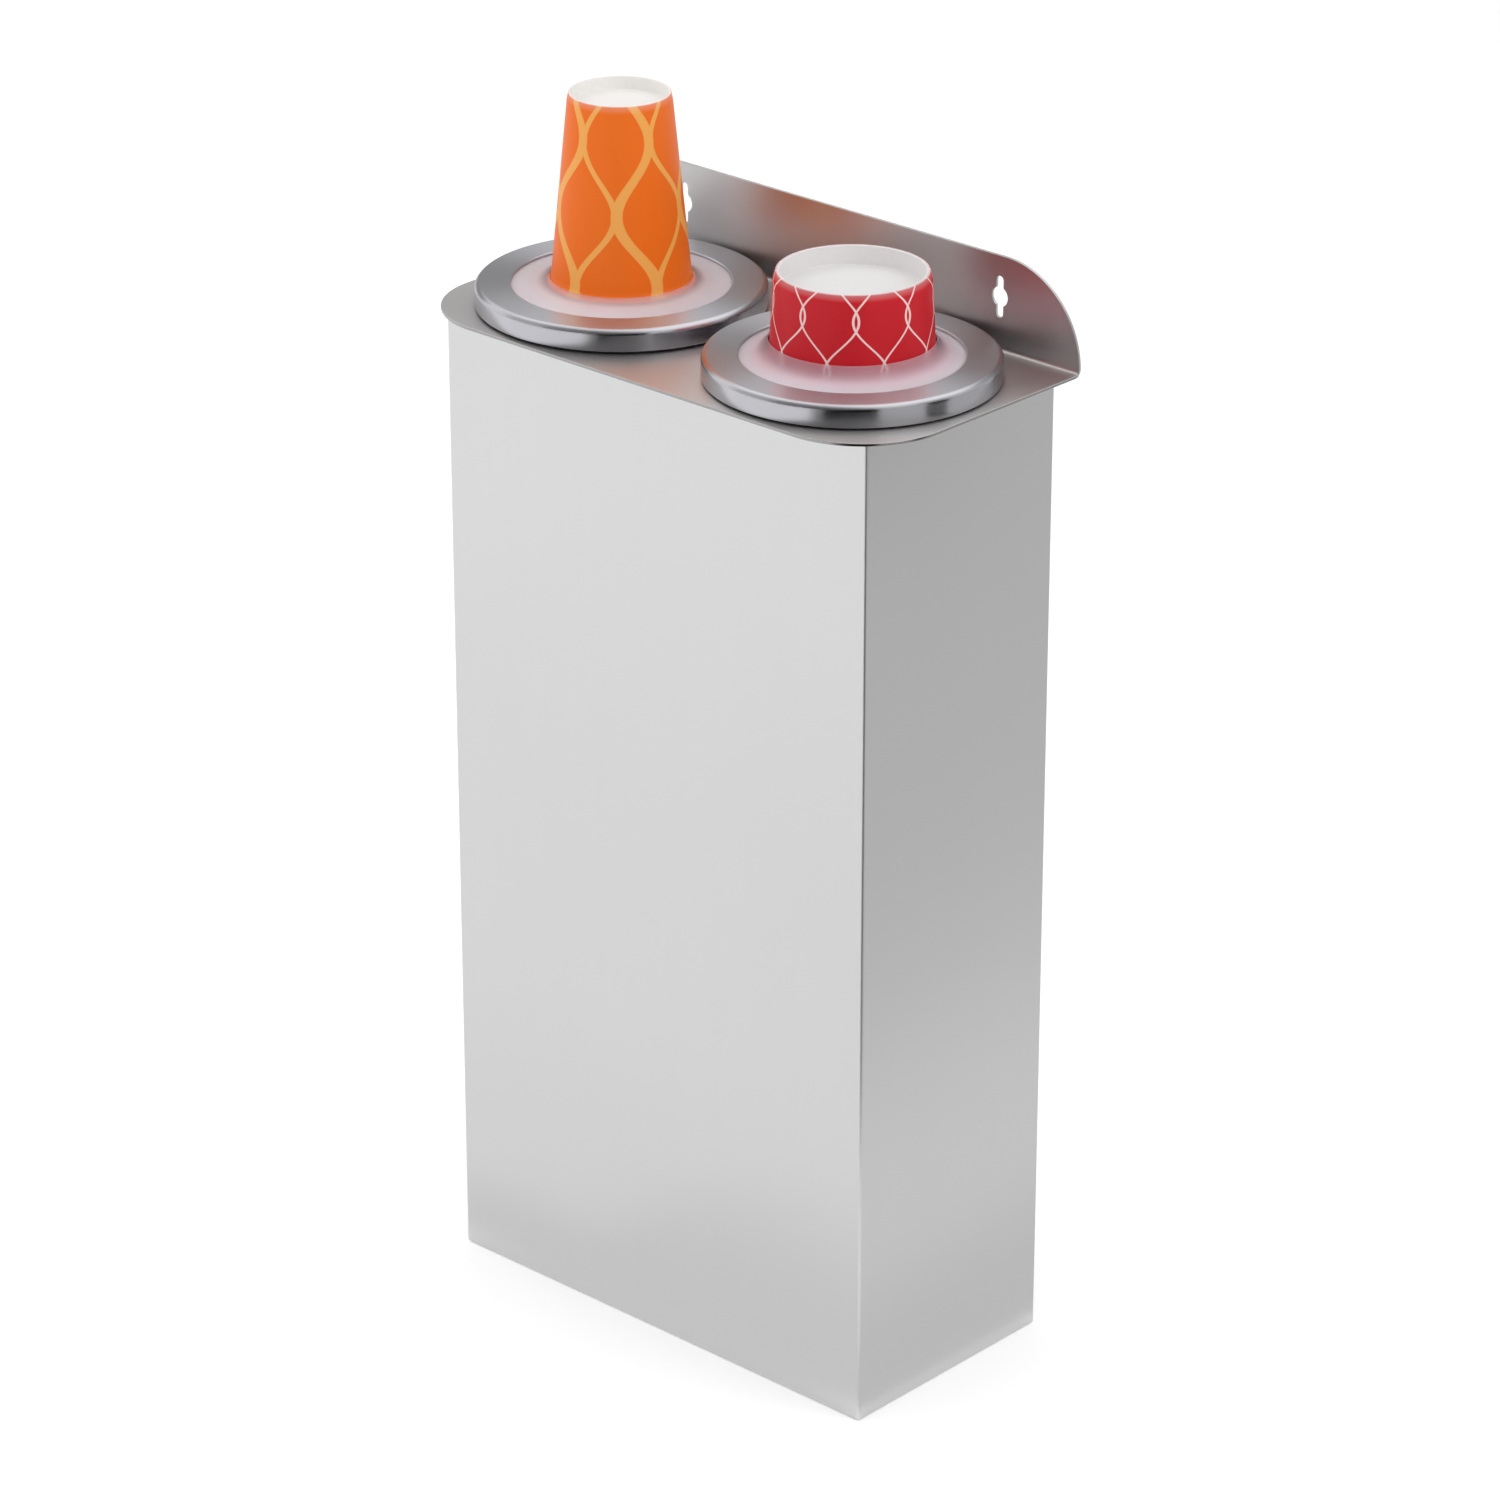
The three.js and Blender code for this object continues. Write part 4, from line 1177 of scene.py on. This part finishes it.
def build_cup(name, side, drop):
    """A paper cup. The wall's overlap stands out by a small step over the seam's width, and the folded
    skirt in the base's recess is knurled."""
    recess, outside, curl, inside, cap = cup_profile(side, drop)
    profile = np.concatenate([recess, outside, curl, inside, cap])
    mouth, base, top_z, mouth_z = cup_sizes(side, drop)
    angle = bearings(CUP_STEPS)
    seam_share = SEAM_WIDTH / base
    turned_by = (angle - math.radians(SEAM_BEARING)) % TURN
    rise = SEAM_EDGE_SHARE + (1 - SEAM_EDGE_SHARE) * turned_by / seam_share
    step = np.where(turned_by < seam_share, SEAM_STEP * rise, 0.0)
    inner = base - CUP_SKIRT[side]
    in_recess = (profile[:, 0] > inner + KNURL_BAND[0]) & (profile[:, 0] < inner + KNURL_BAND[1])
    in_recess &= profile[:, 1] > top_z - CUP_RECESS[side] + KNURL_START
    knurl = KNURL_DEPTH * (0.5 + 0.5 * np.sin(angle * KNURL_COUNT))
    on_outside = np.zeros(len(profile))
    on_outside[len(recess):len(recess) + len(outside)] = 1
    r = profile[:, 0][None] + step[:, None] * on_outside[None] - knurl[:, None] * in_recess[None]
    a = angle[:, None]
    z = profile[:, 1]
    points = joined(axis_x[side] + r * np.cos(a), r * np.sin(a), z)
    uv = joined((turned_by / TURN)[:, None], (top_z - z) / (top_z - mouth_z))
    start = int(np.argmin(turned_by))
    order = np.roll(np.arange(CUP_STEPS), -start)
    points = np.concatenate([points[order], points[order][:1]])
    uv = np.concatenate([uv[order], joined(1.0, uv[0, :, 1])[None]])
    faces = grid_faces(CUP_STEPS + 1, len(profile))
    piece = build(name, [(points.reshape(-1, 3), faces)], uv=uv.reshape(-1, 2))
    mesh = piece.data
    places = threes(mesh.vertices, "co", np.float32) / MM
    radius = np.hypot(places[:, 0] - axis_x[side], places[:, 1])
    wall_radius = base + (top_z - places[:, 2]) * (mouth - base) / (top_z - mouth_z)
    crest = base - CUP_SHOULDER[side]
    worn = np.clip((radius - inner) / (crest - inner) * WORN_SLOPE - WORN_SHARE, 0, 1)
    on_crest = (radius > inner - CREST_MARGIN) & (places[:, 2] > top_z - SHOULDER_DEPTH)
    mark = np.where(radius > wall_radius - CUP_WALL / 2, 1.0, 0.0)
    mark = np.where(on_crest, worn, mark)
    attribute = mesh.attributes.new("printed", "FLOAT", "POINT")
    attribute.data.foreach_set("value", mark.astype(np.float32))
    return outwards(piece)


def stroke(joint):
    """How far a slide goes down, in millimetres."""
    return -next(j["range_m"][0] for j in frame["joints"] if j["name"] == joint) / MM


CUP_NODES = ("top_cup", "nested_cup_1", "nested_cup_2")

for side in SIDES:
    lid = f"{side}_lid"
    stack = f"{side}_stack"
    rows = [
        ("ring", lid_ring_profile, LID_STEEL[side], lid, "lid_steel", "lid_ring", 256),
        ("carrier", carrier_profile, BLACK_PLASTIC, lid, "black_plastic", "lid_carrier", 128),
        ("diaphragm", membrane_profile, silicone(side), lid, "membrane_silicone", "membrane", 256),
        ("mouth_collar", collar_profile, BLACK_PLASTIC, "housing", "black_plastic", "collar", 192),
        ("nut", lock_ring_profile, BLACK_PLASTIC, "housing", "black_plastic", "lock_ring", 128),
        ("cup_tube", tube_profile, WHITE_PLASTIC, "housing", "white_plastic", "tube", 192),
        ("foot", tube_base_profile, BLACK_PLASTIC, "housing", "black_plastic", "tube_base", 128),
        ("platform", lifter_profile, WHITE_PLASTIC, stack, "white_plastic", "lifter", 192),
    ]
    for word, profile_of, made, body, slot_name, node_name, segments in rows:
        piece = outwards(turned(f"{side}_{word}", profile_of(side), axis_x[side], segments))
        dress(piece, made, body, f"{side}_{node_name}")
    coil = build_spring(side)
    dress(coil, SPRING_STEEL, "housing", f"{side}_spring")
    _, spring_low, spring_high = turned_size(f"{side}_spring")
    length = float(spring_high - spring_low)
    (length - stroke(f"{side}_stack_slide")) / length
    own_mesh(coil)
    paper, paper_slot = PAPER[side]
    top = cup_sizes(side)[2]
    for number, node_name in enumerate(CUP_NODES, start=1):
        drop = float(top - turned_size(f"{side}_{node_name}")[2])
        cup = build_cup(f"{side}_paper_cup_{number}", side, drop)
        body = f"{side}_cup" if number == 1 else stack
        dress(cup, paper, body, f"{side}_{node_name}")


# Studio

FLOOR_TONE = 0.86
FLOOR_LIFT = 0.28
FLOOR_LIFT_IN_STEEL = 0.12
SKY_TONE = (0.98, 0.98, 1.0)
SKY_STRENGTH = 0.68
WHITE = (1.0, 1.0, 1.0)


def plane(name, places):
    """A flat card from its corners, in metres."""
    mesh = bpy.data.meshes.new(name)
    mesh.from_pydata(places, [], [tuple(range(len(places)))])
    card = linked(name, mesh)
    return card


def floor_material():
    """Pale floor that shows white to the camera and in the steel, and keeps the object's shadow."""
    made = bpy.data.materials.new("studio_floor")
    graph = Graph(made)
    in_steel = graph.rays("Glossy", "Transmission") * FLOOR_LIFT_IN_STEEL
    lifted = graph.rays("Camera") * FLOOR_LIFT + in_steel
    diffuse = graph.add("ShaderNodeBsdfDiffuse", {"Color": rgb(WHITE, FLOOR_TONE)})
    lift = graph.add("ShaderNodeEmission", {"Color": rgb(WHITE), "Strength": lifted})
    graph.surface("ShaderNodeAddShader", [diffuse, lift])
    return made


def card_material(name, level):
    """A plain glow of strength 1, whose colour is the level. A softbox has a level above 1."""
    made = bpy.data.materials.new(name)
    graph = Graph(made)
    graph.surface("ShaderNodeEmission", {"Color": (level, level, level, 1.0), "Strength": 1.0})
    return made


def flag(name, places, level):
    """A grey card that only reflections show. The flags are set up as beside bright metal in a studio;
    the cards in CARDS that lie on the floor are painted shade of the floor beside the object.
    """
    card = plane(name, places)
    card.data.materials.append(card_material(name, level))
    for ray in ("camera", "diffuse", "shadow", "transmission"):
        setattr(card, f"visible_{ray}", False)


def card_across(x, y, z, far_x=None):
    """Corners of a card whose two edges run along X: one at the first y and z, and one, over far_x where
    it is given, at the second."""
    far = far_x or x
    return [(x[0], y[0], z[0]), (x[1], y[0], z[0]), (far[1], y[1], z[1]), (far[0], y[1], z[1])]


def card_along(x, y, z):
    """Corners of a card whose two edges run along Y: one at the first x and z, and one at the second."""
    return [(x[0], y[0], z[0]), (x[0], y[1], z[0]), (x[1], y[1], z[1]), (x[1], y[0], z[1])]


def card_fan(start, end, reach, height):
    """Corners of a card between two bearings from the front towards the right, in degrees. One edge is
    at the first distance from the origin and the first height, and one at the second."""
    turns = [math.radians(bearing) for bearing in (start, end, end, start)]
    ends = (0, 0, 1, 1)
    return [(reach[i] * math.sin(a), -reach[i] * math.cos(a), height[i]) for a, i in zip(turns, ends)]


FLOOR_REACH = (-8, 8)
FLOOR_LEVEL = (-0.0002, -0.0002)
CARD_LEVEL = (0.001, 0.001)
UPPER_CARD_LEVEL = (0.0015, 0.0015)
FAN_LEVEL = (0.002, 0.002)
FAN_REACH = (0.45, 3.2)
FAN_WALL = (3.2, 3.2)
FAN_HEIGHT = (0.0, 3.2)

# Cards in metres, with the level of grey that each shows in the steel
CARDS = {
    "right_flag": (card_along((0.42, 0.42), (-0.2, 1.6), (0.0, 0.9)), 0.59),
    "right_gap": (card_along((0.41, 0.41), (0.02, 0.13), (0.36, 0.75)), 0.05),
    # Cards just over the floor, darker near the object: painted shade of the floor as the steel mirrors
    # it.
    "right_floor": (card_across((0.14, 0.22), (-0.1, 1.2), CARD_LEVEL), 0.68),
    "right_far_floor_shade": (card_across((0.22, 0.42), (-0.1, 1.2), CARD_LEVEL), 0.80),
    "front_floor_shade": (card_across((-0.32, 0.16), (-0.2, -0.07), CARD_LEVEL, (-0.15, 0.16)), 0.77),
    "left_floor": (card_across((-0.4, -0.08), (-0.26, -0.11), UPPER_CARD_LEVEL, (-0.25, -0.08)), 0.91),
    "front_far_floor_shade": (card_across((-0.9, 0.16), (-0.7, -0.2), CARD_LEVEL, (-0.75, 0.16)), 0.96),
    "front_flag": (card_across((-0.9, 3.5), (-2.6, -1.2), (0.9, 3.4)), 0.10),
    "front_left_flag": (card_across((-3.5, -0.9), (-2.6, -1.2), (0.9, 3.4)), 0.45),
    "back_flag": (card_across((-3.5, 3.5), (2.6, 2.0), (0.2, 2.1)), 0.32),
    "left_flag": (card_along((-3.2, -3.0), (0.0, 2.6), (0.6, 2.0)), 0.24),
    "softbox": (card_across((-2.2, 2.2), (-0.3, 2.6), (2.7, 2.7)), 1.4),
}

# Bearings and level of the dark cards that the upright round steel mirrors
FANS = ((13, 17, 0.65), (17, 23, 0.30), (23, 62, 0.0), (62, 66, 0.42))

# Place, size in metres and power in watts
LAMPS = {
    "key": ((0.6, -2.2, 2.7), 3.0, 21.0),
    "right_fill": ((1.9, 0.6, 2.0), 2.0, 22.0),
    "left_fill": ((-2.0, -0.6, 1.9), 2.0, 20.0),
}
LAMP_AIM = (0.0, 0.0, 0.25)


def lamp(name, place, size, power):
    """A square lamp that faces the middle of the object and shows in no reflection."""
    data = bpy.data.lights.new(name, "AREA")
    data.shape = "SQUARE"
    data.size = size
    data.energy = power
    light = linked(name, data)
    light.location = place
    aim = unit(np.array(LAMP_AIM) - np.array(place))
    light.rotation_euler = (math.acos(-aim[2]), 0, math.atan2(-aim[0], aim[1]))
    light.visible_glossy = False


floor = plane("floor", card_across(FLOOR_REACH, FLOOR_REACH, FLOOR_LEVEL))
floor.data.materials.append(floor_material())
for name, (corners, level) in CARDS.items():
    flag(name, corners, level)
for number, (start, end, level) in enumerate(FANS, start=1):
    flag(f"camera_floor_{number}", card_fan(start, end, FAN_REACH, FAN_LEVEL), level)
    flag(f"camera_wall_{number}", card_fan(start, end, FAN_WALL, FAN_HEIGHT), level)
for name, (place, size, power) in LAMPS.items():
    lamp(name, place, size, power)

world = bpy.data.worlds.new("studio")
bpy.context.scene.world = world
sky = Graph(world)
soft = sky.add("ShaderNodeBackground", {"Color": rgb(SKY_TONE), "Strength": SKY_STRENGTH})
white = sky.add("ShaderNodeBackground", {"Color": rgb(WHITE), "Strength": 1.0})
seen = sky.rays("Camera", "Glossy", "Transmission")
sky.add("ShaderNodeOutputWorld", [sky.add("ShaderNodeMixShader", [seen, soft, white])])

camera_data = bpy.data.cameras.new("camera")
camera_data.lens = CAMERA_LENS
camera_data.sensor_width = SENSOR
camera_data.clip_end = 50
camera = linked("camera", camera_data)
camera.location = CAMERA_PLACE
camera.rotation_euler = (math.radians(90 - CAMERA_PITCH), 0, math.radians(CAMERA_YAW))
bpy.context.scene.camera = camera
bpy.context.scene.view_settings.view_transform = "Standard"
